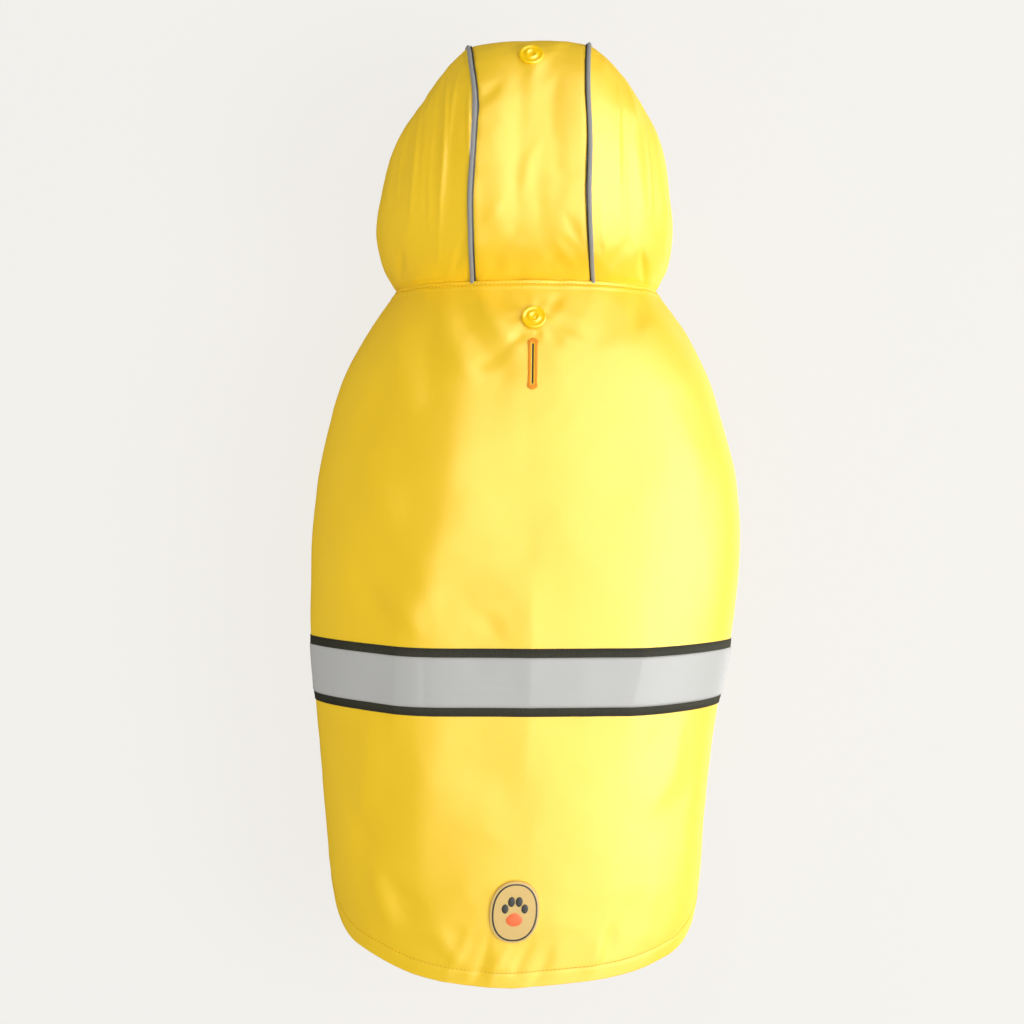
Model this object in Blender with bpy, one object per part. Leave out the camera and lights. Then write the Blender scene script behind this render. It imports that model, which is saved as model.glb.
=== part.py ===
"""A dog raincoat with a hood, filled out as if worn.

Lengths in this file are millimetres and become metres in make_object.
+X is the garment's right side seen from above, +Y points to the head, +Z up.
The origin is on the inside of the back panel, over the wearer's withers.
"""
import math
from functools import lru_cache

import bmesh
import bpy
from mathutils import Vector

MM = 0.001

# Cloth and trims
WALL = 1.5
SEAM_GAP = 0.3
TRIM_WALL = 1.0
PIPING_WIDTH = 2.3
PIPING_RISE = 0.9
RIBBON_WIDTH = 34.0
TAPE_WIDTH = 25.0
RIBBON_CENTRE_Y = -138.5
SNAP_RADIUS = 6.2
SNAP_LIFT = 0.18
SLIT_LENGTH = 20.0
SLIT_WIDTH = 1.6
BINDING_LENGTH = 26.0
BINDING_WIDTH = 4.6
BINDING_LIFT = 0.4
BINDING_THICKNESS = 0.8
BADGE_WIDTH = 25.0
BADGE_LENGTH = 32.0
BADGE_THICKNESS = 1.6

# Where things sit: distance from the spine along the cloth, then Y
SLIT_AT = (-0.2, 20.8)
NAPE_SNAP_AT = (0.2, 44.4)
BADGE_AT = (-1.4, -254.3)

# Shares of the half girth, from the spine at 0 to the belly centre at 1
SIDE_SEAM_SHARE = 0.64
HOOD_END_SHARE = 0.92
BELLY_LAP = 17.0
FASTENER_WIDTH = 24.0
FASTENER_THICKNESS = 1.3
LAP_LIFT = 3.6
LAP_RAMP_START = 44.0
LAP_RAMP_END = 20.0

# Front-leg holes, cut through the belly panels
LEG_HOLE_SHARE = 0.80
LEG_HOLE_Y = 8.0
LEG_HOLE_LENGTH = 66.0
LEG_HOLE_WIDTH = 54.0

# The body's cross-sections. spine is the X of the back's centre line, left
# and right are half widths from it. top, side and belly are the heights of
# the spine, the widest line and the belly. fullness is the section's
# superellipse power: 2 is an ellipse and more is squarer.
BODY_COLUMNS = ("y", "spine", "left", "right", "top", "side", "belly", "fullness")
BODY_ROWS = (
    (64.5, 0.8, 73.0, 66.0, -15.5, -67.0, -112.0, 2.15),
    (42.0, 0.6, 88.0, 82.0, -5.5, -65.0, -119.0, 2.15),
    (20.0, 0.3, 99.5, 93.5, -0.6, -63.0, -124.0, 2.2),
    (0.0, 0.0, 106.0, 100.3, 1.5, -62.0, -126.0, 2.2),
    (-36.0, 0.0, 113.5, 109.0, 3.0, -61.0, -128.0, 2.25),
    (-75.0, 0.0, 117.0, 111.0, 4.0, -60.0, -128.0, 2.25),
    (-120.0, -0.3, 117.0, 106.5, 4.0, -60.0, -127.0, 2.25),
    (-165.0, -1.8, 112.0, 99.5, 2.5, -60.0, -126.0, 2.25),
    (-210.0, -4.5, 105.5, 97.0, 0.0, -60.0, -124.0, 2.25),
    (-250.0, -7.2, 99.0, 96.5, -4.0, -60.0, -122.0, 2.2),
    (-280.0, -9.2, 90.0, 92.5, -9.0, -60.0, -120.0, 2.15),
    (-302.0, -10.5, 80.0, 84.0, -13.0, -60.0, -118.0, 2.1),
)

# The hem, as Y against the share of the half girth
HEM_COLUMNS = ("share", "left", "right")
HEM_ROWS = (
    (0.0, -295.0, -295.0),
    (0.12, -293.5, -293.0),
    (0.24, -289.0, -290.5),
    (0.34, -280.5, -285.0),
    (0.42, -272.0, -276.5),
    (0.50, -250.0, -255.0),
    (0.57, -222.0, -226.0),
    (0.64, -196.0, -198.0),
    (0.75, -168.0, -169.0),
    (0.88, -150.0, -150.0),
    (1.0, -145.0, -145.0),
)

# The hood's ribs, from the neck seam to the face edge. Each lies in the
# plane through its crown and its foot at the throat. left_seam and
# right_seam are where the piping runs, measured from the crown line.
HOOD_COLUMNS = ("crown_y", "crown_z", "foot_y", "foot_z", "spine", "left",
                "right", "fullness", "left_seam", "right_seam")
HOOD_ROWS = (
    (64.5, -15.5, 64.5, -112.0, 0.8, 73.0, 66.0, 2.15, 31.8, 31.0),
    (82.0, -1.5, 72.0, -116.0, 0.6, 79.5, 72.0, 2.2, 31.2, 28.5),
    (105.0, 8.0, 79.0, -119.0, 0.3, 82.5, 74.5, 2.3, 31.2, 27.0),
    (130.0, 12.0, 86.0, -121.0, 0.0, 79.5, 73.0, 2.3, 29.0, 27.5),
    (153.0, 11.0, 91.0, -121.0, -0.3, 75.0, 71.5, 2.25, 27.6, 27.2),
    (172.0, 5.0, 94.0, -120.0, -0.6, 66.0, 66.0, 2.2, 29.5, 27.8),
    (182.5, -6.0, 96.0, -119.0, -0.8, 57.5, 60.0, 2.35, 31.0, 29.0),
    (187.5, -26.0, 98.0, -118.0, -1.0, 52.5, 55.0, 2.6, 32.0, 30.5),
)
HOOD_SNAP_T = 0.735

# The hood's two piped seams stand up a little, fading out at the neck
RIDGE_RISE = 3.6
RIDGE_REACH = 14.0
RIDGE_FADE = 0.16

# The largest folds of the body: where each starts and ends as (distance
# from the spine, Y), its width and its rise out of the cloth
FOLD_COLUMNS = ("start_d", "start_y", "end_d", "end_y", "width", "rise")
BODY_FOLDS = (
    (0.0, -60.0, -1.0, -230.0, 13.0, 1.2),
    (-58.0, 0.0, -66.0, -150.0, 22.0, 1.6),
    (58.0, -40.0, 52.0, -230.0, 22.0, 1.4),
    (-75.0, -175.0, -50.0, -262.0, 18.0, 1.4),
)

# How finely the cloth is cut into facets
BACK_COLUMNS = 32
ROWS_TO_BAND = 12
ROWS_IN_BAND = 2
ROWS_TO_HEM = 9
BELLY_COLUMNS = 9
BELLY_GRID_ROWS = 15
HOOD_GRID_ROWS = 20
HOOD_CENTRE_COLUMNS = 5
HOOD_SIDE_COLUMNS = 10
SECTION_STEPS = 72


def column(columns, rows, name):
    """One named column of a table."""
    index = columns.index(name)
    return [row[index] for row in rows]


def smooth(keys, values, key):
    """A smooth curve through the values, read at key. Keys ascend."""
    last = len(keys) - 1
    i = min(max(sum(k <= key for k in keys) - 1, 0), last - 1)

    def slope(j):
        a, b = max(j - 1, 0), min(j + 1, last)
        return (values[b] - values[a]) / (keys[b] - keys[a])

    span = keys[i + 1] - keys[i]
    t = (key - keys[i]) / span
    start, end = values[i], values[i + 1]
    return ((2 * t**3 - 3 * t**2 + 1) * start + (3 * t**2 - 2 * t**3) * end
            + span * ((t**3 - 2 * t**2 + t) * slope(i) + (t**3 - t**2) * slope(i + 1)))


def body_value(name, y):
    """A column of the body table, read at y."""
    keys = [-k for k in column(BODY_COLUMNS, BODY_ROWS, "y")]
    return smooth(keys, column(BODY_COLUMNS, BODY_ROWS, name), -y)


def hem_y(side, share):
    """The hem's Y at a share of the half girth. side is -1 left, 1 right."""
    keys = column(HEM_COLUMNS, HEM_ROWS, "share")
    name = "left" if side < 0 else "right"
    return smooth(keys, column(HEM_COLUMNS, HEM_ROWS, name), min(share, 1.0))


@lru_cache(maxsize=None)
def hood_value(name, t):
    """A column of the hood table, read at t: 0 at the neck, 1 at the face."""
    keys = [i / (len(HOOD_ROWS) - 1) for i in range(len(HOOD_ROWS))]
    return smooth(keys, column(HOOD_COLUMNS, HOOD_ROWS, name), t)


def half_section(half_width, rise, drop, fullness):
    """Points (out, up) from the crown round to the foot, with their lengths."""
    points = []
    for i in range(SECTION_STEPS + 1):
        angle = math.pi * i / SECTION_STEPS
        out = half_width * abs(math.sin(angle)) ** (2 / fullness)
        up = abs(math.cos(angle)) ** (2 / fullness)
        points.append((out, up * rise if angle < math.pi / 2 else -up * drop))
    lengths = [0.0]
    for a, b in zip(points, points[1:]):
        lengths.append(lengths[-1] + math.dist(a, b))
    return points, lengths


def walk(section, distance):
    """The point (out, up) at a distance along a half section."""
    points, lengths = section
    distance = max(distance, 0.0)
    i = 0
    while i < len(lengths) - 2 and lengths[i + 1] < distance:
        i += 1
    t = (distance - lengths[i]) / (lengths[i + 1] - lengths[i])
    a, b = points[i], points[i + 1]
    return a[0] + t * (b[0] - a[0]), a[1] + t * (b[1] - a[1])


@lru_cache(maxsize=None)
def body_section(side, y):
    """The body's half section at y."""
    side_z = body_value("side", y)
    return half_section(body_value("left" if side < 0 else "right", y),
                        body_value("top", y) - side_z,
                        side_z - body_value("belly", y),
                        body_value("fullness", y))


@lru_cache(maxsize=None)
def hood_section(side, t):
    """The hood rib's half section at t."""
    crown = (hood_value("crown_y", t), hood_value("crown_z", t))
    foot = (hood_value("foot_y", t), hood_value("foot_z", t))
    half_height = math.dist(crown, foot) / 2
    return half_section(hood_value("left" if side < 0 else "right", t),
                        half_height, half_height, hood_value("fullness", t))


def fold_rise(d, y):
    """How far the folds lift the cloth at (d, y)."""
    total = 0.0
    for start_d, start_y, end_d, end_y, width, rise in BODY_FOLDS:
        run = Vector((end_d - start_d, end_y - start_y))
        offset = Vector((d - start_d, y - start_y))
        along = offset.dot(run) / run.length_squared
        if 0.0 < along < 1.0:
            across = (offset - run * along).length / width
            total += rise * math.exp(-2 * across**2) * math.sin(math.pi * along)
    return total


def seam_rise(d, t):
    """How far the hood's two seams stand up as soft ridges, none at the neck."""
    fade = min(1.0, t / RIDGE_FADE)
    fade = fade * fade * (3 - 2 * fade)
    return fade * RIDGE_RISE * sum(math.exp(-abs(d - hood_seam(side, t)) / RIDGE_REACH)
                                   for side in (-1, 1))


def side_of(d):
    """-1 on the left of the spine, 1 on the right."""
    return -1 if d < 0 else 1


def bare_body_point(d, y):
    """The body's outer face before its folds, d along the cloth from the spine."""
    side = side_of(d)
    out, up = walk(body_section(side, y), abs(d))
    return Vector((body_value("spine", y) + side * out, y, body_value("side", y) + up))


def bare_hood_point(d, t):
    """The hood's outer face, d along the cloth from the crown line."""
    side = side_of(d)
    out, up = walk(hood_section(side, t), abs(d))
    crown = Vector((0, hood_value("crown_y", t), hood_value("crown_z", t)))
    foot = Vector((0, hood_value("foot_y", t), hood_value("foot_z", t)))
    point = (crown + foot) / 2 + (crown - foot).normalized() * up
    point.x = hood_value("spine", t) + side * out
    return point


def facing(surface, d, v, step_v):
    """The surface's unit normal, pointing away from the wearer."""
    across = surface(d + 1.0, v) - surface(d - 1.0, v)
    along = surface(d, v + step_v) - surface(d, v - step_v)
    return across.cross(along).normalized()


@lru_cache(maxsize=None)
def body_point(d, y):
    """The body's outer face and its normal."""
    normal = facing(bare_body_point, d, y, 1.0)
    return bare_body_point(d, y) + normal * fold_rise(d, y), normal


@lru_cache(maxsize=None)
def hood_point(d, t):
    """The hood's outer face and its normal."""
    normal = facing(bare_hood_point, d, t, 0.004)
    return bare_hood_point(d, t) + normal * seam_rise(d, t), normal


def half_girth(side, y):
    """Length along the cloth from the spine to the belly centre."""
    return body_section(side, y)[1][-1]


def make_material(name, colour, roughness, metallic=0.0):
    """A plain Principled material."""
    material = bpy.data.materials.new(name)
    material.use_nodes = True
    shader = material.node_tree.nodes["Principled BSDF"]
    shader.inputs["Base Color"].default_value = (*colour, 1.0)
    shader.inputs["Roughness"].default_value = roughness
    shader.inputs["Metallic"].default_value = metallic
    return material


def make_object(name, vertices, faces, material):
    """An object from vertices in millimetres, its faces turned outward."""
    mesh = bpy.data.meshes.new(name)
    mesh.from_pydata([tuple(Vector(v) * MM) for v in vertices], [], faces)
    work = bmesh.new()
    work.from_mesh(mesh)
    bmesh.ops.recalc_face_normals(work, faces=work.faces)
    work.to_mesh(mesh)
    work.free()
    mesh.materials.append(material)
    mesh.shade_smooth()
    mesh.set_sharp_from_angle(angle=math.radians(50))
    thing = bpy.data.objects.new(name, mesh)
    bpy.context.collection.objects.link(thing)
    return thing


def make_sheet(name, grid, inner, outer, material):
    """A wall over a grid of (point, normal), from inner to outer off its face."""
    rows, columns = len(grid), len(grid[0])
    vertices = []
    for offset in (outer, inner):
        for row in grid:
            vertices += [point + normal * offset for point, normal in row]
    below = rows * columns
    faces = []
    for r in range(rows - 1):
        for c in range(columns - 1):
            a = r * columns + c
            b, e, f = a + 1, a + columns, a + columns + 1
            faces += [(a, b, f), (a, f, e)]
            faces += [(below + a, below + f, below + b), (below + a, below + e, below + f)]
    edge = [c for c in range(columns)]
    edge += [r * columns + columns - 1 for r in range(1, rows)]
    edge += [(rows - 1) * columns + c for c in range(columns - 2, -1, -1)]
    edge += [r * columns for r in range(rows - 2, 0, -1)]
    for a, b in zip(edge, edge[1:] + edge[:1]):
        faces.append((a, b, below + b, below + a))
    return make_object(name, vertices, faces, material)


def make_patch(name, centre, loops, hole, inner, outer, material):
    """A small wall on the back, from loops of local points, outermost first.

    With hole set, the last loop is an open edge. Otherwise it is filled.
    """
    vertices = []
    for offset in (outer, inner):
        for loop in loops:
            for across, along in loop:
                point, normal = body_point(centre[0] + across, centre[1] + along)
                vertices.append(point + normal * offset)
    count = len(loops[0])
    below = count * len(loops)
    faces = []
    for k in range(count):
        n = (k + 1) % count
        faces.append((k, n, below + n, below + k))
        for ring in range(len(loops) - 1):
            a, b = ring * count + k, ring * count + n
            faces.append((a, a + count, b + count, b))
            faces.append((below + a, below + b, below + b + count, below + a + count))
        if hole:
            a, b = below - count + k, below - count + n
            faces.append((a, below + a, below + b, b))
    if not hole:
        last = range(below - count, below)
        faces.append(tuple(last))
        faces.append(tuple(below + i for i in reversed(last)))
    return make_object(name, vertices, faces, material)


def stadium(width, length, steps=6, straight_steps=6):
    """A loop of points round a slot with round ends, long along Y."""
    radius, reach = width / 2, (length - width) / 2
    loop = []
    for end in (1, -1):
        for i in range(steps + 1):
            angle = math.pi * i / steps + (0 if end > 0 else math.pi)
            loop.append((radius * math.cos(angle), end * reach + radius * math.sin(angle)))
        for i in range(1, straight_steps):
            loop.append((-end * radius, end * reach * (1 - 2 * i / straight_steps)))
    return loop


def ellipse(width, length, steps=28):
    """A loop of points round an ellipse."""
    return [(width / 2 * math.cos(2 * math.pi * i / steps),
             length / 2 * math.sin(2 * math.pi * i / steps)) for i in range(steps)]


def cut_through(thing, name, centre, loop, reach):
    """Cut a hole of the loop's shape through a body panel, square to its face."""
    point, normal = body_point(*centre)
    across = Vector((1, 0, 0)) - normal * normal.x
    across.normalize()
    along = normal.cross(across)
    vertices = []
    for height in (-reach, reach):
        for a, b in loop:
            vertices.append(point + across * a + along * b + normal * height)
    count = len(loop)
    faces = [tuple(range(count)), tuple(range(2 * count - 1, count - 1, -1))]
    faces += [(k, (k + 1) % count, count + (k + 1) % count, count + k) for k in range(count)]
    cutter = make_object(name, vertices, faces, thing.data.materials[0])
    cutter.hide_render = True
    cutter.display_type = "WIRE"
    cut = thing.modifiers.new(name, "BOOLEAN")
    cut.operation = "DIFFERENCE"
    cut.solver = "EXACT"
    cut.object = cutter


def back_rows():
    """Y of the back panel's rows down to the ribbon's lower edge."""
    start = BODY_ROWS[0][0] - SEAM_GAP / 2
    top = RIBBON_CENTRE_Y + RIBBON_WIDTH / 2
    rows = [start + (top - start) * i / ROWS_TO_BAND for i in range(ROWS_TO_BAND)]
    return rows + [top - RIBBON_WIDTH * i / ROWS_IN_BAND for i in range(ROWS_IN_BAND + 1)]


def back_columns():
    """Signed shares of the half girth across the back panel."""
    return [SIDE_SEAM_SHARE * (2 * i / BACK_COLUMNS - 1) for i in range(BACK_COLUMNS + 1)]


def back_at(share, y):
    """Point and normal on the back at a signed share, clear of the side seam."""
    side = side_of(share)
    d = share * half_girth(side, y)
    if abs(share) == SIDE_SEAM_SHARE:
        d -= side * SEAM_GAP / 2
    return body_point(d, y)


def make_back(material):
    grid = [[back_at(share, y) for share in back_columns()] for y in back_rows()]
    start = back_rows()[-1]
    for i in range(1, ROWS_TO_HEM + 1):
        row = []
        for share in back_columns():
            end = hem_y(side_of(share), abs(share))
            row.append(back_at(share, start + (end - start) * i / ROWS_TO_HEM))
        grid.append(row)
    back = make_sheet("back_panel", grid, -WALL, 0.0, material)
    cut_through(back, "slit_cutter", SLIT_AT, stadium(SLIT_WIDTH, SLIT_LENGTH), 4 * WALL)


def lap_offset(side, distance_to_centre):
    """How far the left belly panel stands out, to lap over the right one."""
    if side > 0:
        return 0.0
    t = (LAP_RAMP_START - distance_to_centre) / (LAP_RAMP_START - LAP_RAMP_END)
    t = min(max(t, 0.0), 1.0)
    return LAP_LIFT * t * t * (3 - 2 * t)


def belly_at(side, past_seam, y):
    """Point and normal on a belly panel, past_seam from 0 to 1 across it."""
    girth = half_girth(side, y)
    start = SIDE_SEAM_SHARE * girth + SEAM_GAP / 2
    d = start + past_seam * (girth + BELLY_LAP - start)
    beyond = d - girth
    if beyond > 0:
        point, normal = body_point(-side * (half_girth(-side, y) - beyond), y)
    else:
        point, normal = body_point(side * d, y)
    return point + normal * lap_offset(side, -beyond), normal


def make_belly(side, material):
    name = "belly_left" if side < 0 else "belly_right"
    start = BODY_ROWS[0][0] - SEAM_GAP / 2
    grid = []
    for i in range(BELLY_GRID_ROWS + 1):
        row = []
        for k in range(BELLY_COLUMNS + 1):
            share = SIDE_SEAM_SHARE + (1 - SIDE_SEAM_SHARE) * k / BELLY_COLUMNS
            y = start + (hem_y(side, share) - start) * i / BELLY_GRID_ROWS
            row.append(belly_at(side, k / BELLY_COLUMNS, y))
        grid.append(row)
    panel = make_sheet(name, grid, -WALL, 0.0, material)
    hole_d = side * LEG_HOLE_SHARE * half_girth(side, LEG_HOLE_Y)
    cut_through(panel, name + "_leg_cutter", (hole_d, LEG_HOLE_Y),
                ellipse(LEG_HOLE_WIDTH, LEG_HOLE_LENGTH), 10 * WALL)


def make_fastener(material):
    """The strip between the lapped belly panels."""
    start, end = BODY_ROWS[0][0] - 8.0, HEM_ROWS[-1][1] + 8.0
    grid = []
    for i in range(BELLY_GRID_ROWS + 1):
        y = start + (end - start) * i / BELLY_GRID_ROWS
        row = []
        for k in range(5):
            past = (k / 4 - 0.5) * FASTENER_WIDTH
            side = 1 if past >= 0 else -1
            row.append(body_point(side * (half_girth(side, y) - abs(past)), y))
        grid.append(row)
    make_sheet("belly_fastener", grid, SEAM_GAP, SEAM_GAP + FASTENER_THICKNESS, material)


def make_band(name, width, lift, material):
    """A strip across the back, from one side seam to the other."""
    rows = [RIBBON_CENTRE_Y + width * (0.5 - i / ROWS_IN_BAND) for i in range(ROWS_IN_BAND + 1)]
    grid = [[back_at(share, y) for share in back_columns()] for y in rows]
    make_sheet(name, grid, lift, lift + TRIM_WALL, material)


def hood_rows():
    """t of the hood's grid rows, closer where the brow turns down."""
    return [(i / HOOD_GRID_ROWS) ** 0.85 for i in range(HOOD_GRID_ROWS + 1)]


def hood_at(d, t):
    """Point and normal on the hood, with the neck row clear of the body."""
    point, normal = hood_point(d, t)
    if t == 0.0:
        point = point + Vector((0, SEAM_GAP / 2, 0))
    return point, normal


def hood_seam(side, t):
    """Where a piping runs, as a signed distance from the crown line."""
    return side * hood_value("left_seam" if side < 0 else "right_seam", t)


def make_hood(material):
    clear = PIPING_WIDTH / 2 + SEAM_GAP
    grid = []
    for t in hood_rows():
        left, right = hood_seam(-1, t) + clear, hood_seam(1, t) - clear
        grid.append([hood_at(left + (right - left) * k / HOOD_CENTRE_COLUMNS, t)
                     for k in range(HOOD_CENTRE_COLUMNS + 1)])
    make_sheet("hood_center", grid, -WALL, 0.0, material)
    for side, name in ((-1, "hood_left"), (1, "hood_right")):
        grid = []
        for t in hood_rows():
            start = abs(hood_seam(side, t)) + clear
            end = HOOD_END_SHARE * hood_section(side, t)[1][-1]
            grid.append([hood_at(side * (start + (end - start) * k / HOOD_SIDE_COLUMNS), t)
                         for k in range(HOOD_SIDE_COLUMNS + 1)])
        make_sheet(name, grid, -WALL, 0.0, material)


def make_piping(side, material):
    """A rounded cord held between the centre strip and a side panel."""
    half, low, high = PIPING_WIDTH / 2, -WALL, PIPING_RISE
    profile = ((half, low), (half, 0.0), (half * 0.7, high * 0.7), (0.0, high),
               (-half * 0.7, high * 0.7), (-half, 0.0), (-half, low))
    vertices, faces = [], []
    count = len(profile)
    rows = hood_rows()
    for t in rows:
        d = hood_seam(side, t)
        point, normal = hood_at(d, t)
        across = hood_at(d + 1.0, t)[0] - hood_at(d - 1.0, t)[0]
        across.normalize()
        vertices += [point + across * a + normal * b for a, b in profile]
    for r in range(len(rows) - 1):
        for k in range(count):
            a, b = r * count + k, r * count + (k + 1) % count
            faces += [(a, b, b + count), (a, b + count, a + count)]
    faces.append(tuple(range(count)))
    faces.append(tuple(range((len(rows) - 1) * count, len(rows) * count)))
    make_object("piping_left" if side < 0 else "piping_right", vertices, faces, material)


def make_snap(name, point, normal, material):
    """A moulded snap: a flange, a raised ring and a dimple with a small stud."""
    profile = ((SNAP_RADIUS, 0.0), (SNAP_RADIUS, 0.7), (5.6, 1.3), (3.6, 1.4), (3.3, 2.1),
               (2.4, 2.3), (1.8, 2.0), (1.6, 1.4), (0.7, 1.2))
    steps = 28
    vertices = []
    for radius, height in profile:
        for i in range(steps):
            angle = 2 * math.pi * i / steps
            vertices.append((radius * math.cos(angle), radius * math.sin(angle), height))
    faces = [tuple(range(steps)), tuple(range((len(profile) - 1) * steps, len(profile) * steps))]
    for r in range(len(profile) - 1):
        for i in range(steps):
            a, b = r * steps + i, r * steps + (i + 1) % steps
            faces.append((a, b, b + steps, a + steps))
    snap = make_object(name, vertices, faces, material)
    snap.location = (point + normal * SNAP_LIFT) * MM
    snap.rotation_mode = "QUATERNION"
    snap.rotation_quaternion = normal.to_track_quat("Z", "Y")


def build():
    for thing in list(bpy.data.objects):
        bpy.data.objects.remove(thing)
    shell = make_material("yellow_coated_cloth", (0.93, 0.72, 0.05), 0.42)
    grey = make_material("grey_reflective_piping", (0.30, 0.31, 0.32), 0.45)
    dark = make_material("dark_ribbon", (0.03, 0.03, 0.025), 0.7)
    silver = make_material("silver_tape", (0.62, 0.62, 0.60), 0.35)
    plastic = make_material("yellow_plastic", (0.95, 0.62, 0.01), 0.25)
    thread = make_material("orange_thread", (0.92, 0.36, 0.03), 0.7)
    rubber = make_material("tan_rubber", (0.62, 0.48, 0.26), 0.55)
    hook = make_material("belly_fastener", (0.55, 0.42, 0.06), 0.85)

    make_back(shell)
    make_belly(-1, shell)
    make_belly(1, shell)
    make_fastener(hook)
    make_hood(shell)
    make_piping(-1, grey)
    make_piping(1, grey)
    make_band("band_ribbon", RIBBON_WIDTH, SEAM_GAP, dark)
    make_band("band_tape", TAPE_WIDTH, 2 * SEAM_GAP + TRIM_WALL, silver)
    make_snap("snap_hood", *hood_point(0.0, HOOD_SNAP_T), plastic)
    make_snap("snap_nape", *body_point(*NAPE_SNAP_AT), plastic)
    binding = [stadium(BINDING_WIDTH, BINDING_LENGTH), stadium(SLIT_WIDTH, SLIT_LENGTH)]
    make_patch("slit_binding", SLIT_AT, binding, True,
               BINDING_LIFT, BINDING_LIFT + BINDING_THICKNESS, thread)
    plate = [ellipse(BADGE_WIDTH * s, BADGE_LENGTH * s, 32) for s in (1.0, 0.7, 0.4, 0.12)]
    make_patch("badge", BADGE_AT, plate, False,
               SEAM_GAP, SEAM_GAP + BADGE_THICKNESS, rubber)


build()
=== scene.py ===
import math

import bpy
import numpy as np
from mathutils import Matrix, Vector


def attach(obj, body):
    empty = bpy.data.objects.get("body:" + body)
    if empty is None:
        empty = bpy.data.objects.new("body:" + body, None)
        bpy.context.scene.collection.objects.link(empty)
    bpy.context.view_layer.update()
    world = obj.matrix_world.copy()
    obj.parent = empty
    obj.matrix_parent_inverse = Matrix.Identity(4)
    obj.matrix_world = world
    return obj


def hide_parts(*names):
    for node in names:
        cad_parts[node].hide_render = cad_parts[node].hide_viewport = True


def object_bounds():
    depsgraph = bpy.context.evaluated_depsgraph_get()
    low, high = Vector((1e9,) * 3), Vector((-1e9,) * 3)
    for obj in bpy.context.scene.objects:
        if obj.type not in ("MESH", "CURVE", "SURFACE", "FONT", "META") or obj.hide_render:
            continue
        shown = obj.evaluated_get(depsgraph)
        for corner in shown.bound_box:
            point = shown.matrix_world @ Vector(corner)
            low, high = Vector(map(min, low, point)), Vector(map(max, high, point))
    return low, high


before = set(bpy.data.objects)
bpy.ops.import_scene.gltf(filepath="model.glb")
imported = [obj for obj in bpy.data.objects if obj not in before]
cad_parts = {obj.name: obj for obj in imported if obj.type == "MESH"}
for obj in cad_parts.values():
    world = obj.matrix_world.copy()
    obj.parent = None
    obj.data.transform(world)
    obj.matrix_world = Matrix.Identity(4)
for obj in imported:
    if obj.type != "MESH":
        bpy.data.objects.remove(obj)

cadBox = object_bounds()
mm = 0.001
print("frame loaded:", len(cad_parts), "nodes")

# the coat's form, in millimetres
# body sections: y, spine x, left and right half width, heights of the spine,
# the widest line and the belly, and the superellipse power
bodySections = np.array([
    (64.5, 0.8, 73.0, 66.0, -15.5, -67.0, -112.0, 2.15),
    (42.0, 0.6, 88.0, 82.0, -5.5, -65.0, -119.0, 2.15),
    (20.0, 0.3, 99.5, 93.5, -0.6, -63.0, -124.0, 2.2),
    (0.0, 0.0, 106.0, 100.3, 1.5, -62.0, -126.0, 2.2),
    (-36.0, 0.0, 113.5, 109.0, 3.0, -61.0, -128.0, 2.25),
    (-75.0, 0.0, 117.0, 111.0, 4.0, -60.0, -128.0, 2.25),
    (-120.0, -0.3, 117.0, 106.5, 4.0, -60.0, -127.0, 2.25),
    (-165.0, -1.8, 112.0, 99.5, 2.5, -60.0, -126.0, 2.25),
    (-210.0, -4.5, 105.5, 97.0, 0.0, -60.0, -124.0, 2.25),
    (-250.0, -7.2, 99.0, 96.5, -4.0, -60.0, -122.0, 2.2),
    (-280.0, -9.2, 90.0, 92.5, -9.0, -60.0, -120.0, 2.15),
    (-302.0, -10.5, 80.0, 84.0, -13.0, -60.0, -118.0, 2.1),
])
# hem: share of the half girth, y on the left, y on the right
hemLine = np.array([
    (0.0, -295.0, -295.0), (0.12, -293.5, -293.0), (0.24, -289.0, -290.5),
    (0.34, -280.5, -285.0), (0.42, -272.0, -276.5), (0.50, -250.0, -255.0),
    (0.57, -222.0, -226.0), (0.64, -196.0, -198.0), (0.75, -168.0, -169.0),
    (0.88, -150.0, -150.0), (1.0, -145.0, -145.0),
])
# hood ribs: crown y z, foot y z, spine x, left and right half width, power,
# and where the left and right piping run off the crown line
hoodRibs = np.array([
    (64.5, -15.5, 64.5, -112.0, 0.8, 73.0, 66.0, 2.15, 31.8, 31.0),
    (82.0, -1.5, 72.0, -116.0, 0.6, 79.5, 72.0, 2.2, 31.2, 28.5),
    (105.0, 8.0, 79.0, -119.0, 0.3, 82.5, 74.5, 2.3, 31.2, 27.0),
    (130.0, 12.0, 86.0, -121.0, 0.0, 79.5, 73.0, 2.3, 29.0, 27.5),
    (153.0, 11.0, 91.0, -121.0, -0.3, 75.0, 71.5, 2.25, 27.6, 27.2),
    (172.0, 5.0, 94.0, -120.0, -0.6, 66.0, 66.0, 2.2, 29.5, 27.8),
    (182.5, -6.0, 96.0, -119.0, -0.8, 57.5, 60.0, 2.35, 31.0, 29.0),
    (187.5, -26.0, 98.0, -118.0, -1.0, 52.5, 55.0, 2.6, 32.0, 30.5),
])
sideSeamShare = 0.64
reach = 340


def smoothCurve(keys, values, at):
    # the same cubic through the table's rows as the solids have
    keys, values, at = np.asarray(keys), np.asarray(values), np.asarray(at, float)
    slope = np.empty(len(keys))
    slope[1:-1] = (values[2:] - values[:-2]) / (keys[2:] - keys[:-2])
    slope[0] = (values[1] - values[0]) / (keys[1] - keys[0])
    slope[-1] = (values[-1] - values[-2]) / (keys[-1] - keys[-2])
    i = np.clip(np.searchsorted(keys, at, side="right") - 1, 0, len(keys) - 2)
    span = keys[i + 1] - keys[i]
    t = (at - keys[i]) / span
    return ((2 * t**3 - 3 * t**2 + 1) * values[i] + (3 * t**2 - 2 * t**3) * values[i + 1]
            + span * ((t**3 - 2 * t**2 + t) * slope[i] + (t**3 - t**2) * slope[i + 1]))


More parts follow.
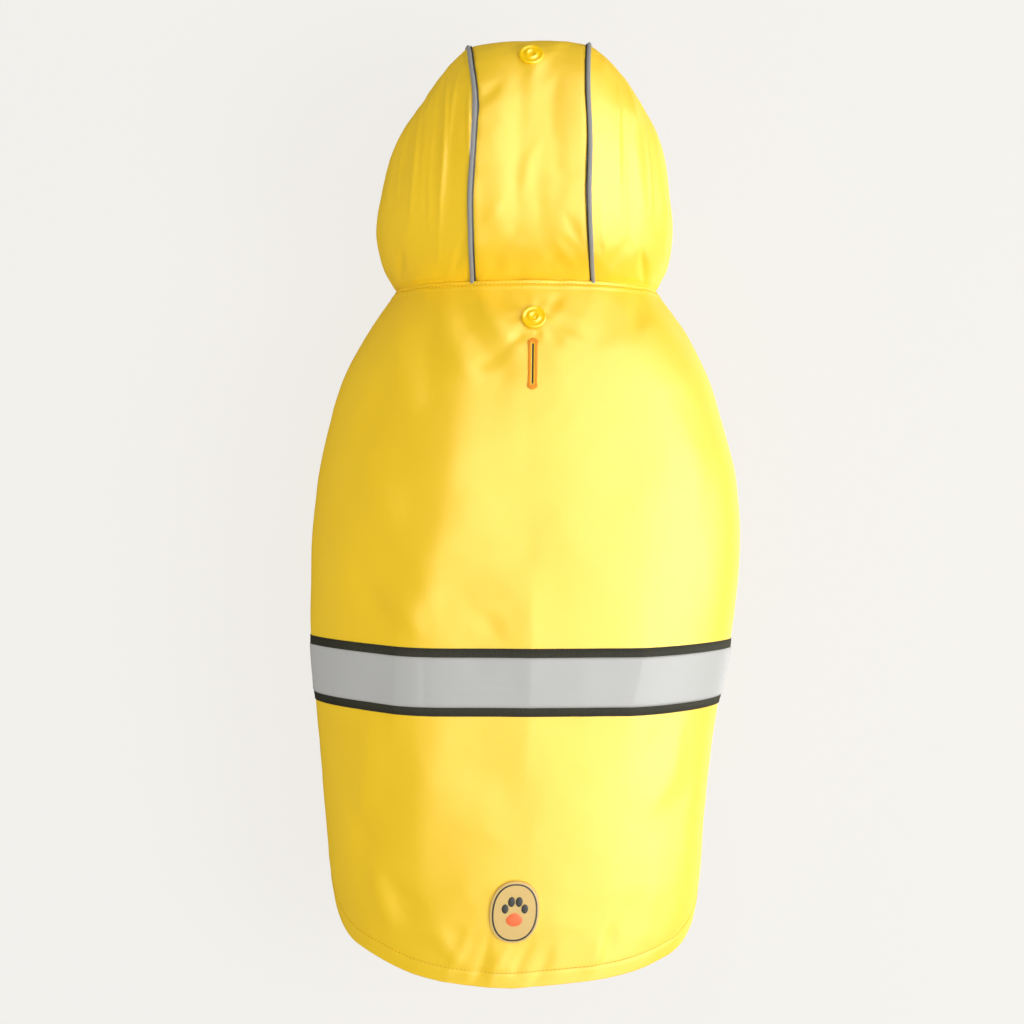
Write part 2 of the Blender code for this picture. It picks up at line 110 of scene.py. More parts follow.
def halfSection(halfWidth, rise, drop, power):
    angle = np.linspace(0, math.pi, 241)
    out = halfWidth * np.abs(np.sin(angle)) ** (2 / power)
    up = np.abs(np.cos(angle)) ** (2 / power)
    up = np.where(angle < math.pi / 2, up * rise, -up * drop)
    length = np.concatenate([[0], np.cumsum(np.hypot(np.diff(out), np.diff(up)))])
    return out, up, length


def fillRow(sections):
    # one lattice row: x off the spine and height at each millimetre of cloth
    d = np.arange(-reach, reach + 1.0)
    left, right = sections
    x, z = np.empty(len(d)), np.empty(len(d))
    girth = left[2][-1] + right[2][-1]
    for side, own, other in ((-1, left, right), (1, right, left)):
        mine = d < 0 if side < 0 else d >= 0
        run = np.abs(d[mine])
        over = run > own[2][-1]
        x[mine] = side * np.where(over, -np.interp(girth - run, other[2], other[0]),
                                  np.interp(run, own[2], own[0]))
        z[mine] = np.where(over, np.interp(girth - run, other[2], other[1]),
                           np.interp(run, own[2], own[1]))
    return x, z, left[2][-1], right[2][-1]


class Lattice:
    # a surface sampled every millimetre of cloth, read at any (d, v)
    def __init__(self, low, step, rows):
        self.low, self.step = low, step
        self.points = np.array([r[0] for r in rows])
        self.girths = np.array([r[1] for r in rows])

    def rowOf(self, v):
        f = np.clip((np.asarray(v, float) - self.low) / self.step, 0, len(self.points) - 1.001)
        return f.astype(int), f - f.astype(int)

    def at(self, d, v):
        r, fr = self.rowOf(v)
        f = np.clip(np.asarray(d, float) + reach, 0, 2 * reach - 0.001)
        c = f.astype(int)
        fc = (f - c)[..., None]
        fr = fr[..., None]
        p = self.points
        near = p[r, c] * (1 - fc) + p[r, c + 1] * fc
        far = p[r + 1, c] * (1 - fc) + p[r + 1, c + 1] * fc
        return near * (1 - fr) + far * fr

    def normal(self, d, v):
        dv = 2.5 if self.step > 0.5 else 0.012
        d, v = np.asarray(d, float), np.asarray(v, float)
        across = self.at(d + 1.5, v) - self.at(d - 1.5, v)
        along = self.at(d, v + dv) - self.at(d, v - dv)
        n = np.cross(across, along)
        return n / np.linalg.norm(n, axis=-1, keepdims=True)

    def girth(self, side, v):
        r, fr = self.rowOf(v)
        k = 0 if side < 0 else 1
        return self.girths[r, k] * (1 - fr) + self.girths[r + 1, k] * fr


def makeBodyLattice():
    rows = []
    tables = [lambda y, k=k: float(smoothCurve(-bodySections[:, 0], bodySections[:, k], -y))
              for k in range(8)]
    for y in np.arange(-304.0, 70.0):
        spine, left, right, top, side, belly, power = (tables[k](y) for k in range(1, 8))
        half = [halfSection(w, top - side, side - belly, power) for w in (left, right)]
        x, z, leftGirth, rightGirth = fillRow(half)
        rows.append((np.stack([spine + x, np.full(len(x), y), side + z], -1),
                     (leftGirth, rightGirth)))
    return Lattice(-304.0, 1.0, rows)


def makeHoodLattice():
    rows = []
    keys = np.linspace(0, 1, len(hoodRibs))
    for t in np.linspace(-0.01, 1.01, 256):
        cy, cz, fy, fz, spine, left, right, power = (
            float(smoothCurve(keys, hoodRibs[:, k], t)) for k in range(8))
        half = math.hypot(cy - fy, cz - fz) / 2
        x, up, leftGirth, rightGirth = fillRow([halfSection(w, half, half, power)
                                                for w in (left, right)])
        rows.append((np.stack([spine + x, (cy + fy) / 2 + (cy - fy) / 2 * up / half,
                               (cz + fz) / 2 + (cz - fz) / 2 * up / half], -1),
                     (leftGirth, rightGirth)))
    return Lattice(-0.01, 1.02 / 255, rows)


body = makeBodyLattice()
hood = makeHoodLattice()


def hemY(share):
    share = np.asarray(share, float)
    left = smoothCurve(hemLine[:, 0], hemLine[:, 1], np.abs(share))
    right = smoothCurve(hemLine[:, 0], hemLine[:, 2], np.abs(share))
    return np.where(share < 0, left, right)


def hoodSeam(side, t):
    return side * smoothCurve(np.linspace(0, 1, len(hoodRibs)),
                              hoodRibs[:, 8 if side < 0 else 9], t)


def seamRise(d, t):
    # the piped seams stand up a little, fading out at the neck
    fade = np.clip(np.asarray(t) / 0.16, 0, 1)
    fade = fade * fade * (3 - 2 * fade)
    return fade * 3.6 * sum(np.exp(-np.abs(d - hoodSeam(side, t)) / 14.0) for side in (-1, 1))


print("form worked out")


# creases and softness
def creaseLift(d, y, creases, power=2.0):
    # each crease: start d y, end d y, half width, rise (minus for a trough), bow;
    # power 2 makes it round and 1 makes it sharp
    total = np.zeros(np.broadcast(d, y).shape)
    for d0, y0, d1, y1, width, rise, bow in creases:
        run = np.array([d1 - d0, y1 - y0])
        length = np.hypot(*run)
        u = ((d - d0) * run[0] + (y - y0) * run[1]) / length**2
        off = ((d - d0) * -run[1] + (y - y0) * run[0]) / length
        inside = np.clip(u, 0, 1)
        off = off - bow * np.sin(math.pi * inside)
        past = (u - inside) * length
        spread = width * (0.75 + 0.5 * np.sin(math.pi * inside))
        total += (rise * np.exp(-np.abs(off / spread) ** power) * np.exp(-(past / width) ** 2)
                  * np.sin(math.pi * np.clip(0.12 + 0.76 * inside, 0, 1)))
    return total


def softNoise(d, y, size, seed):
    # smooth seeded bumps about as wide as size
    grid = np.random.default_rng(seed).uniform(-1, 1, (90, 90))
    a = np.mod(np.asarray(d) / size + 31.3, 88)
    b = np.mod(np.asarray(y) / size + 37.7, 88)
    i, j = a.astype(int), b.astype(int)
    s, t = a - i, b - j
    s, t = s * s * (3 - 2 * s), t * t * (3 - 2 * t)
    return ((grid[i, j] * (1 - s) + grid[i + 1, j] * s) * (1 - t)
            + (grid[i, j + 1] * (1 - s) + grid[i + 1, j + 1] * s) * t)


def step(low, high, x):
    t = np.clip((x - low) / (high - low), 0, 1)
    return t * t * (3 - 2 * t)


def farFrom(d, y, line):
    # distance from each (d, y) to a line of points, and how far along it
    shape = np.broadcast(d, y).shape
    p = np.stack([np.broadcast_to(d, shape).ravel(), np.broadcast_to(y, shape).ravel()], -1)
    best, along = np.full(len(p), 1e9), np.zeros(len(p))
    lengths = np.concatenate([[0], np.cumsum(np.linalg.norm(np.diff(line, axis=0), axis=1))])
    for a, b, start in zip(line[:-1], line[1:], lengths):
        run = b - a
        size = np.linalg.norm(run)
        if size == 0:
            continue
        u = np.clip((p - a) @ run / size**2, 0, 1)
        gap = np.linalg.norm(p - a - u[:, None] * run, axis=1)
        better = gap < best
        best[better], along[better] = gap[better], (start + u * size)[better]
    return best.reshape(shape), along.reshape(shape)


def insetLine(line, inset):
    # the line moved to its left by inset
    run = np.gradient(line, axis=0)
    run /= np.linalg.norm(run, axis=1, keepdims=True)
    return line + np.stack([-run[:, 1], run[:, 0]], -1) * inset


def hemFold(d, y, line, width, seed):
    # a turned hem: a thicker band, a groove at its stitches, uneven puckers
    gap, along = farFrom(d, y, line)
    pucker = np.sin(along / 2.3 + 2.5 * softNoise(along, 0 * along, 24, seed))
    strength = 0.5 + 0.5 * softNoise(along, 0 * along, 31, seed + 1)
    return (0.14 * (1 - step(width, width + 0.9, gap))
            - 0.22 * np.exp(-((gap - width) / 1.1) ** 2)
            + 0.22 * pucker * strength * np.exp(-((gap - width) / 4.5) ** 2))


# materials
def newMaterial(name, colour, roughness, shine):
    material = bpy.data.materials.new(name)
    material.use_nodes = True
    shader = material.node_tree.nodes["Principled BSDF"]
    shader.inputs["Base Color"].default_value = (*colour, 1)
    shader.inputs["Roughness"].default_value = roughness
    shader.inputs["Specular IOR Level"].default_value = shine
    return material, material.node_tree, shader


def addNode(tree, kind, links=(), **values):
    node = tree.nodes.new(kind)
    for key, value in values.items():
        if hasattr(node, key) and key not in node.inputs:
            setattr(node, key, value)
        else:
            node.inputs[key].default_value = value
    for socket, source in dict(links).items():
        tree.links.new(source, node.inputs[socket])
    return node


def feed(tree, node, values):
    # a socket is linked in, and anything else is set on the input
    for index, value in values.items():
        if isinstance(value, bpy.types.NodeSocket):
            tree.links.new(value, node.inputs[index])
        else:
            node.inputs[index].default_value = value


def mixColour(tree, fac, first, second):
    node = addNode(tree, "ShaderNodeMix", data_type="RGBA")
    feed(tree, node, {0: fac, 6: first, 7: second})
    return node.outputs[2]


def mathNode(tree, operation, a, b):
    node = addNode(tree, "ShaderNodeMath", operation=operation)
    feed(tree, node, {0: a, 1: b})
    return node.outputs[0]


def noiseAt(tree, place, scale, detail, **values):
    return addNode(tree, "ShaderNodeTexNoise", {"Vector": place}, Scale=scale, Detail=detail,
                   **values).outputs["Fac"]


def onCut(tree):
    # metres along and across the cut piece
    return addNode(tree, "ShaderNodeUVMap", uv_map="cloth").outputs[0]


def onObject(tree):
    return addNode(tree, "ShaderNodeTexCoord").outputs["Object"]


def shade(colour, share=1.0):
    return (*[min(c * share, 1) for c in colour], 1)


def finishLook(tree, shader, colours, grain, strength):
    tree.links.new(colours, shader.inputs["Base Color"])
    bump = addNode(tree, "ShaderNodeBump", {"Height": grain}, Strength=strength, Distance=0.0001)
    tree.links.new(bump.outputs[0], shader.inputs["Normal"])


clothLook = {"colour": (0.86, 0.553, 0.0103), "roughness": 0.46, "shine": 0.2,
             "weavePitch": 0.00042, "weaveDepth": 0.05, "wrinkleSize": 0.007, "wrinkleDepth": 0.09}


def coatedCloth():
    look = clothLook
    material, tree, shader = newMaterial("coatedCloth", look["colour"], look["roughness"],
                                         look["shine"])
    place = onCut(tree)
    scale = 0.314 / look["weavePitch"]
    warp, weft = (addNode(tree, "ShaderNodeTexWave", {"Vector": place}, Scale=scale,
                          Distortion=0.4, bands_direction=way).outputs["Fac"] for way in "XY")
    weave = mathNode(tree, "MULTIPLY", warp, weft)
    fine = noiseAt(tree, place, 1 / look["wrinkleSize"], 3.0, Roughness=0.45)
    broad = noiseAt(tree, place, 22.0, 2.0)
    tone = addNode(tree, "ShaderNodeMapRange", {"Value": broad},
                   **{"From Min": 0.3, "From Max": 0.7})
    r, g, b = look["colour"]
    colour = mixColour(tree, tone.outputs[0], (r * 0.985, g * 0.975, b * 0.9, 1),
                       (r, g * 1.015, b * 1.1, 1))
    tree.links.new(colour, shader.inputs["Base Color"])
    rough = addNode(tree, "ShaderNodeMapRange", {"Value": fine},
                    **{"To Min": look["roughness"] - 0.05, "To Max": look["roughness"] + 0.05})
    tree.links.new(rough.outputs[0], shader.inputs["Roughness"])
    soft = addNode(tree, "ShaderNodeBump", {"Height": fine},
                   Strength=look["wrinkleDepth"], Distance=0.0012)
    crisp = addNode(tree, "ShaderNodeBump", {"Height": weave, "Normal": soft.outputs[0]},
                    Strength=look["weaveDepth"], Distance=0.0002)
    tree.links.new(crisp.outputs[0], shader.inputs["Normal"])
    return material


def threadLook(name, colour, roughness=0.55):
    material, tree, shader = newMaterial(name, colour, roughness, 0.08)
    twist = noiseAt(tree, onObject(tree), 2600.0, 1.0)
    finishLook(tree, shader, mixColour(tree, twist, shade(colour, 0.8), shade(colour, 1.15)),
               twist, 0.3)
    return material


def ribbonLook():
    material, tree, shader = newMaterial("darkGrosgrain", (0.03, 0.03, 0.024), 0.8, 0.05)
    place = onCut(tree)
    fuzz = noiseAt(tree, place, 1800.0, 2.0)
    base = mixColour(tree, noiseAt(tree, place, 14.0, 1.0), (0.018, 0.019, 0.017, 1),
                     (0.036, 0.033, 0.014, 1))
    finishLook(tree, shader, mixColour(tree, fuzz, base, (0.042, 0.040, 0.028, 1)), fuzz, 0.4)
    return material


# reflective finishes: fine glass beads, light and dark, under broad clouds
silverLook = {"colour": (0.44, 0.44, 0.426), "roughness": 0.42, "shine": 0.06, "beads": 4200.0,
              "light": (0.46, 0.46, 0.445), "dark": (0.41, 0.41, 0.396), "clouds": 60.0,
              "cloudShare": 0.25, "cloudColour": (0.49, 0.49, 0.476), "depth": 0.12}
greyLook = {"colour": (0.27, 0.27, 0.265), "roughness": 0.75, "shine": 0.07, "beads": 3600.0,
            "light": (0.30, 0.30, 0.292), "dark": (0.235, 0.235, 0.23), "clouds": 120.0,
            "cloudShare": 0.5, "cloudColour": (0.25, 0.25, 0.26), "depth": 0.25}


def beadedLook(name, placeOn, look):
    material, tree, shader = newMaterial(name, look["colour"], look["roughness"], look["shine"])
    place = placeOn(tree)
    beads = addNode(tree, "ShaderNodeTexVoronoi", {"Vector": place},
                    Scale=look["beads"]).outputs["Distance"]
    grain = mixColour(tree, beads, shade(look["light"]), shade(look["dark"]))
    clouds = mathNode(tree, "MULTIPLY", noiseAt(tree, place, look["clouds"], 2.0),
                      look["cloudShare"])
    finishLook(tree, shader, mixColour(tree, clouds, grain, shade(look["cloudColour"])),
               beads, look["depth"])
    return material


def mouldedLook(name, colour, roughness, shine, mottle, grainSize, grainDepth):
    material, tree, shader = newMaterial(name, colour, roughness, shine)
    place = onObject(tree)
    colours = mixColour(tree, noiseAt(tree, place, 260.0, 2.0), shade(colour, 1 - mottle),
                        shade(colour, 1 + mottle))
    finishLook(tree, shader, colours, noiseAt(tree, place, 1 / grainSize, 2.0), grainDepth)
    return material


cloth = coatedCloth()
yellowThread = threadLook("yellowThread", (0.80, 0.50, 0.012))
orangeThread = threadLook("orangeThread", (0.84, 0.31, 0.009), 0.7)
# darker beads between stitches: painted shade in the needle's holes
paintedHoleShade = threadLook("paintedHoleShade", (0.62, 0.37, 0.008), 0.9)
ribbon = ribbonLook()
tape = beadedLook("silverTape", onCut, silverLook)
piping = beadedLook("greyPiping", onObject, greyLook)
snapPlastic = mouldedLook("snapPlastic", (0.95, 0.60, 0.003), 0.22, 0.2, 0.02, 0.0012, 0.05)
tanRubber = mouldedLook("tanRubber", (0.68, 0.47, 0.165), 0.5, 0.08, 0.05, 0.0004, 0.25)
# dark rubber for the badge's raised line; the same dark material is also painted shade on the piping's
# flange and inside the slit
darkRubberAndPaintedShade = mouldedLook("darkRubberAndPaintedShade", (0.035, 0.035, 0.03), 0.5, 0.08, 0.1, 0.0004, 0.25)
coralRubber = mouldedLook("coralRubber", (0.88, 0.17, 0.05), 0.5, 0.08, 0.04, 0.0004, 0.25)
hookLook = threadLook("hookTape", (0.62, 0.42, 0.05), 0.8)
print("materials made")


# building helpers
def meshPiece(name, points, faces, materials, uv=None, faceMaterials=None, smooth=True):
    mesh = bpy.data.meshes.new(name)
    mesh.from_pydata((np.asarray(points) * mm).tolist(), [], faces)
    for material in materials:
        mesh.materials.append(material)
    if faceMaterials is not None:
        mesh.polygons.foreach_set("material_index", faceMaterials)
    if uv is not None:
        layer = mesh.uv_layers.new(name="cloth")
        loops = np.empty(len(mesh.loops), int)
        mesh.loops.foreach_get("vertex_index", loops)
        layer.data.foreach_set("uv", (np.asarray(uv) * mm)[loops].astype("f").ravel())
    if smooth:
        mesh.shade_smooth()
    mesh.update()
    piece = bpy.data.objects.new(name, mesh)
    bpy.context.scene.collection.objects.link(piece)
    return piece


def gridFaces(rows, columns, flip=False, wrap=False):
    r, c = np.meshgrid(np.arange(rows - 1), np.arange(columns if wrap else columns - 1),
                       indexing="ij")
    n = (c + 1) % columns
    a, b, e, f = r * columns + c, r * columns + n, (r + 1) * columns + c, (r + 1) * columns + n
    quads = np.stack([a, b, f, e] if flip else [a, e, f, b], -1).reshape(-1, 4)
    return quads.tolist()


def thicken(piece, thickness):
    wall = piece.modifiers.new("wall", "SOLIDIFY")
    wall.thickness = thickness * mm
    wall.offset = -1
    wall.use_even_offset = False
    wall.use_rim = True


def clothPiece(name, lattice, d, v, lift, thickness=1.0, flip=False, wrap=False,
               materials=None, drop=None, uv=None):
    # a shell of cloth over a grid of (d, v), lifted off the lattice
    points = lattice.at(d, v) + lattice.normal(d, v) * lift[..., None]
    faces = gridFaces(*d.shape, flip=flip, wrap=wrap)
    if drop is not None:
        faces = [f for i, f in enumerate(faces) if i not in drop]
    if uv is None:
        uv = np.stack([d, v], -1)
    piece = meshPiece(name, points.reshape(-1, 3), faces, materials or [cloth],
                      uv.reshape(-1, 2))
    thicken(piece, thickness)
    return piece


def joined(parts):
    # one mesh's points and faces from several
    points, faces, start = [], [], 0
    for some, theirs in parts:
        points.append(some)
        faces += [[v + start for v in face] for face in theirs]
        start += len(some)
    return np.concatenate(points), faces


def standFor(piece, node):
    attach(piece, "root")
    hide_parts(node)
    return piece


def asSheet(piece, node):
    standFor(piece, node)


# stitches, by Geometry Nodes
def stitchTree():
    tree = bpy.data.node_groups.new("stitchesOnPath", "GeometryNodeTree")
    face = tree.interface
    face.new_socket("Path", in_out="INPUT", socket_type="NodeSocketGeometry")
    for label, value in (("Pitch", 0.0021), ("Length", 0.0016), ("Width", 0.0004),
                         ("Height", 0.0003), ("Turn", 0.0), ("Uneven", 0.08)):
        socket = face.new_socket(label, in_out="INPUT", socket_type="NodeSocketFloat")
        socket.default_value = value
    face.new_socket("Thread", in_out="INPUT", socket_type="NodeSocketMaterial")
    face.new_socket("Stitches", in_out="OUTPUT", socket_type="NodeSocketGeometry")
    given = tree.nodes.new("NodeGroupInput").outputs
    outward = addNode(tree, "GeometryNodeInputNamedAttribute", data_type="FLOAT_VECTOR",
                      Name="outward").outputs["Attribute"]
    curve = addNode(tree, "GeometryNodeMeshToCurve", {"Mesh": given["Path"]})
    resample = addNode(tree, "GeometryNodeResampleCurve",
                       {"Curve": curve.outputs[0], "Length": given["Pitch"]}, mode="LENGTH")
    bead = addNode(tree, "GeometryNodeMeshUVSphere", Segments=8, Rings=5, Radius=0.5)
    size = addNode(tree, "ShaderNodeCombineXYZ",
                   {"X": given["Length"], "Y": given["Width"], "Z": given["Height"]})
    shaped = addNode(tree, "GeometryNodeTransform",
                     {"Geometry": bead.outputs["Mesh"], "Scale": size.outputs[0]})
    standing = addNode(tree, "FunctionNodeAlignRotationToVector", {"Vector": outward}, axis="Z")
    lying = addNode(tree, "FunctionNodeAlignRotationToVector",
                    {"Rotation": standing.outputs[0],
                     "Vector": tree.nodes.new("GeometryNodeInputTangent").outputs[0]},
                    axis="X", pivot_axis="Z")
    jitter = addNode(tree, "FunctionNodeRandomValue", data_type="FLOAT")
    jitter.inputs["Seed"].default_value = 7
    for socket in jitter.inputs:
        if socket.enabled and socket.name == "Max":
            tree.links.new(given["Uneven"], socket)
        if socket.enabled and socket.name == "Min":
            tree.links.new(mathNode(tree, "MULTIPLY", given["Uneven"], -1.0), socket)
    wobble = [s for s in jitter.outputs if s.enabled][0]
    turned = addNode(tree, "ShaderNodeCombineXYZ",
                     {"Z": mathNode(tree, "ADD", wobble, given["Turn"])})
    spun = addNode(tree, "FunctionNodeRotateRotation",
                   {"Rotation": lying.outputs[0], "Rotate By": turned.outputs[0]},
                   rotation_space="LOCAL")
    placed = addNode(tree, "GeometryNodeInstanceOnPoints",
                     {"Points": resample.outputs[0], "Instance": shaped.outputs[0],
                      "Rotation": spun.outputs[0]})
    real = addNode(tree, "GeometryNodeRealizeInstances", {"Geometry": placed.outputs[0]})
    smooth = addNode(tree, "GeometryNodeSetShadeSmooth", {"Geometry": real.outputs[0]})
    coloured = addNode(tree, "GeometryNodeSetMaterial",
                       {"Geometry": smooth.outputs[0], "Material": given["Thread"]})
    result = tree.nodes.new("NodeGroupOutput")
    tree.links.new(coloured.outputs[0], result.inputs[0])
    return tree


stitchesOnPath = stitchTree()


def stitchPiece(name, paths, material, slot, **sizes):
    # paths: lists of (points, normals), each a run of stitches
    points, edges, normals = [], [], []
    for run, outward in paths:
        start = len(points)
        points += run.tolist()
        normals += outward.tolist()
        edges += [(start + i, start + i + 1) for i in range(len(run) - 1)]
    mesh = bpy.data.meshes.new(name)
    mesh.from_pydata((np.array(points) * mm).tolist(), edges, [])
    mesh.attributes.new("outward", "FLOAT_VECTOR", "POINT").data.foreach_set(
        "vector", np.array(normals).astype("f").ravel())
    piece = bpy.data.objects.new(name, mesh)
    bpy.context.scene.collection.objects.link(piece)
    maker = piece.modifiers.new("stitches", "NODES")
    maker.node_group = stitchesOnPath
    sockets = {s.name: s.identifier for s in stitchesOnPath.interface.items_tree
               if s.in_out == "INPUT"}
    maker[sockets["Thread"]] = material
    for label, value in sizes.items():
        maker[sockets[label]] = float(value)
    bpy.context.view_layer.update()
    graph = bpy.context.evaluated_depsgraph_get()
    solid = bpy.data.meshes.new_from_object(piece.evaluated_get(graph))
    piece.modifiers.remove(maker)
    piece.data = solid
    if not solid.materials:
        solid.materials.append(material)
    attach(piece, "root")
    return piece


def sewnLine(name, paths):
    # thread, with darker beads of painted shade for the needle's holes between its stitches
    thread = stitchPiece(name, paths, yellowThread, "coated_cloth", Pitch=0.0021, Length=0.00165,
                         Width=0.00034, Height=0.00026)
    shifted = []
    for run, outward in paths:
        ahead = np.gradient(run, axis=0)
        ahead = ahead / np.linalg.norm(ahead, axis=1, keepdims=True)
        shifted.append((run + ahead * 1.05 + outward * 0.02, outward))
    # the needle's holes, as darker beads of painted shade
    holeShade = stitchPiece(name + "HoleShade", shifted, paintedHoleShade, "coated_cloth", Pitch=0.0021,
                        Length=0.0009, Width=0.0007, Height=0.00022, Uneven=0.4)
    return [thread, holeShade]


def pathOn(lattice, line, lift):
    d, v = line[:, 0], line[:, 1]
    normal = lattice.normal(d, v)
    return lattice.at(d, v) + normal * lift(d, v)[:, None], normal


# back panel
back = {"columnsPerSide": 84, "rows": 238, "neckY": 64.6, "hemWidth": 8.0, "neckStitch": 2.0,
        "slitAt": (-0.2, 20.8), "slitLength": 20.0, "slitWidth": 1.2, "slitGirth": 265.0,
        "neckRows": 12, "napeRows": 20, "slitRows": 13, "barrelRows": 74, "hemRowsFrom": -120.0,
        "snapAt": (0.2, 44.4), "wall": 0.9}
backCreases = (
    # from the neck seam and the snap down to the left
    (-38, 54, -16, 18, 7.0, -1.9, -3),
    (-27, 57, -9, 30, 4.0, 0.9, -2),
    (-22, 58, -6, 49, 3.2, -0.8, 0),
    (-10, 34, -26, 20, 4.0, -0.6, 1),
    (-48, 50, -30, 14, 6.0, 1.2, -2),
    (-64, 48, -54, 8, 9.0, -1.6, 3),
    (-72, 30, -60, -4, 8.0, 1.2, 2),
    (8, 46, 22, 37, 3.0, -1.0, 0),
    (6, 40, 14, 30, 2.4, -0.8, 0),
    (14, 56, 7, 49, 2.6, -0.8, 0),
    (40, 56, 32, 30, 7.0, -0.9, 2),
    (58, 58, 54, 40, 5.0, -0.9, 1),
    (-4, 37, -12, 31, 1.6, -0.7, 0),
    (-2.6, 38, -1.6, 34, 0.9, -0.6, 0),
    (2.6, 38, 1.8, 34, 0.9, -0.6, 0),
    # soft swells over the barrel
    (-88, -30, -70, -62, 8, 1.3, 3),
    (-92, -80, -76, -104, 7, -1.1, -2),
    (-80, 12, -90, -22, 9, -1.1, 2),
    (-76, -96, -58, -112, 6, 1.3, 3),
    (30, -22, 58, -44, 12, -0.7, 4),
    (74, -8, 88, -48, 9, 0.9, 3),
    (20, -60, 44, -92, 10, 0.6, -3),
    (66, -70, 92, -96, 9, -0.8, 3),
    (-30, -104, -16, -118, 5, -0.7, 2),
    # below the band
    (68, -160, 54, -180, 4.0, -0.8, 3),
    (80, -166, 64, -204, 6.0, 1.1, 4),
    (88, -196, 76, -236, 7.0, -0.9, -3),
    (-82, -160, -88, -206, 7.0, 1.0, 3),
    (-34, -184, -4, -196, 10, -0.6, 3),
    (-72, -236, -44, -262, 6, -2.0, -4),
    (-84, -226, -66, -262, 7, 1.5, 3),
    (-58, -254, -32, -278, 5, 1.2, 3),
    (-92, -206, -80, -250, 6, -1.2, 3),
    (-24, -266, -36, -292, 3.0, 0.9, 1),
    (-14, -270, -20, -293, 2.4, -0.8, 1),
    (-4, -274, -12, -294, 2.4, 0.7, -1),
    (8, -270, 0, -288, 2.2, -0.7, 0),
    (18, -272, 10, -294, 3.0, -0.7, 1),
    (44, -268, 38, -288, 3.0, 0.8, 1),
    (50, -264, 46, -284, 2.6, -0.8, 1),
    (62, -240, 52, -276, 6.0, -0.8, 2),
    (78, -214, 70, -262, 7.0, 0.8, -2),
)
# the folds where one flat of the cloth meets the next
backKnees = (
    (-37, 12, -53, -92, 20, 4.2, 3),
    (-56, -84, -52, -230, 17, 3.4, -2),
    (56, -60, 50, -235, 18, 1.8, 2),
    (64, 24, 68, -70, 20, 1.6, 3),
)
bandFolds = (
    (0.0, -98, -0.5, -172, 10, 1.1, 0),
    (-68, -114, -68, -163, 7, 1.0, 0),
    (57, -118, 49, -160, 5, 0.9, 0),
    (-54, -112, -52, -165, 6, -0.7, 0),
    (24, -120, 27, -158, 7, 0.5, 1),
)


def fromSpine(share, y):
    # millimetres of cloth from the spine to a share of the half girth
    return share * np.where(share < 0, body.girth(-1, y), body.girth(1, y))


hemShares = np.linspace(-sideSeamShare, sideSeamShare, 161)
hemEdge = np.stack([fromSpine(hemShares, hemY(hemShares)), hemY(hemShares)], -1)


def clothLift(d, y):
    folds = (creaseLift(d, y, backCreases) + creaseLift(d, y, backKnees, 1.7)
             + creaseLift(d, y, bandFolds, 1.2))
    return folds + 0.28 * softNoise(d, y, 19, 3) + 0.12 * softNoise(d, y, 8, 4)


def backLift(d, y):
    d, y = np.asarray(d, float), np.asarray(y, float)
    lift = clothLift(d, y)
    lift = lift + hemFold(d, y, hemEdge, back["hemWidth"], 11)
    seam = back["neckY"] - y
    lift = lift + 0.35 * (1 - step(3.0, 5.0, seam)) - 0.4 * np.exp(-((seam - 2.0) / 0.8) ** 2)
    lift = lift + 0.3 * np.exp(-(seam / 9.0) ** 2) * softNoise(d, 0 * d, 7, 8)
    dx, dy = d - back["snapAt"][0], y - back["snapAt"][1]
    around = np.hypot(dx, dy)
    spokes = np.cos(7 * np.arctan2(dy, dx) + 0.8) * 0.22
    lift = lift + spokes * np.exp(-((around - 8.5) / 3.5) ** 2) - 0.5 * np.exp(-(around / 7) ** 2)
    return lift


def makeBack():
    p = back
    n = p["columnsPerSide"]
    middle, half = p["slitAt"][0], p["slitWidth"] / 2
    shares = np.concatenate([
        np.linspace(-sideSeamShare + 0.0005, (middle - half) / p["slitGirth"], n),
        np.linspace((middle + half) / p["slitGirth"], sideSeamShare - 0.0005, n)])
    slitTop = p["slitAt"][1] + p["slitLength"] / 2
    slitFoot = slitTop - p["slitLength"]
    nape, low = p["neckY"] - 6, p["hemRowsFrom"]
    fixed = np.concatenate([np.linspace(p["neckY"], nape, p["neckRows"] + 1)[:-1],
                            np.linspace(nape, slitTop, p["napeRows"] + 1)[:-1],
                            np.linspace(slitTop, slitFoot, p["slitRows"] + 1)[:-1],
                            np.linspace(slitFoot, low, p["barrelRows"])])
    # below these the rows spread out and then close up to follow the hem
    rest = 1 - (1 - np.linspace(0, 1, p["rows"] - len(fixed) + 1)[1:]) ** 1.35
    y = np.concatenate([np.repeat(fixed[:, None], len(shares), 1),
                        low + (hemY(shares)[None] - low) * rest[:, None]])
    d = fromSpine(np.broadcast_to(shares, y.shape), y)
    slitRow = p["neckRows"] + p["napeRows"]
    drop = {r * (len(shares) - 1) + n - 1 for r in range(slitRow, slitRow + p["slitRows"])}
    return clothPiece("backCloth", body, d, y, backLift(d, y), p["wall"], drop=drop)


backCloth = makeBack()
print("back panel made")


# belly panels, with their leg holes
belly = {"lap": 17.0, "lapLift": 3.6, "rampStart": 44.0, "rampEnd": 20.0, "legShare": 0.80,
         "legY": 8.0, "legLength": 66.0, "legWidth": 54.0, "hemWidth": 8.0, "rings": 52, "wall": 0.9}
bellyCreases = (
    (196, 52, 240, 34, 6, -1.2, 4), (190, -34, 232, -52, 8, -1.3, -5),
    (250, -20, 258, -80, 8, 1.0, 3), (204, -60, 246, -92, 7, 1.0, 4),
    (196, -96, 226, -136, 8, -1.1, 4), (232, -100, 262, -128, 6, 0.8, -3),
    (184, 8, 192, -46, 6, 0.9, 3), (176, -120, 196, -156, 7, 0.8, 3),
)


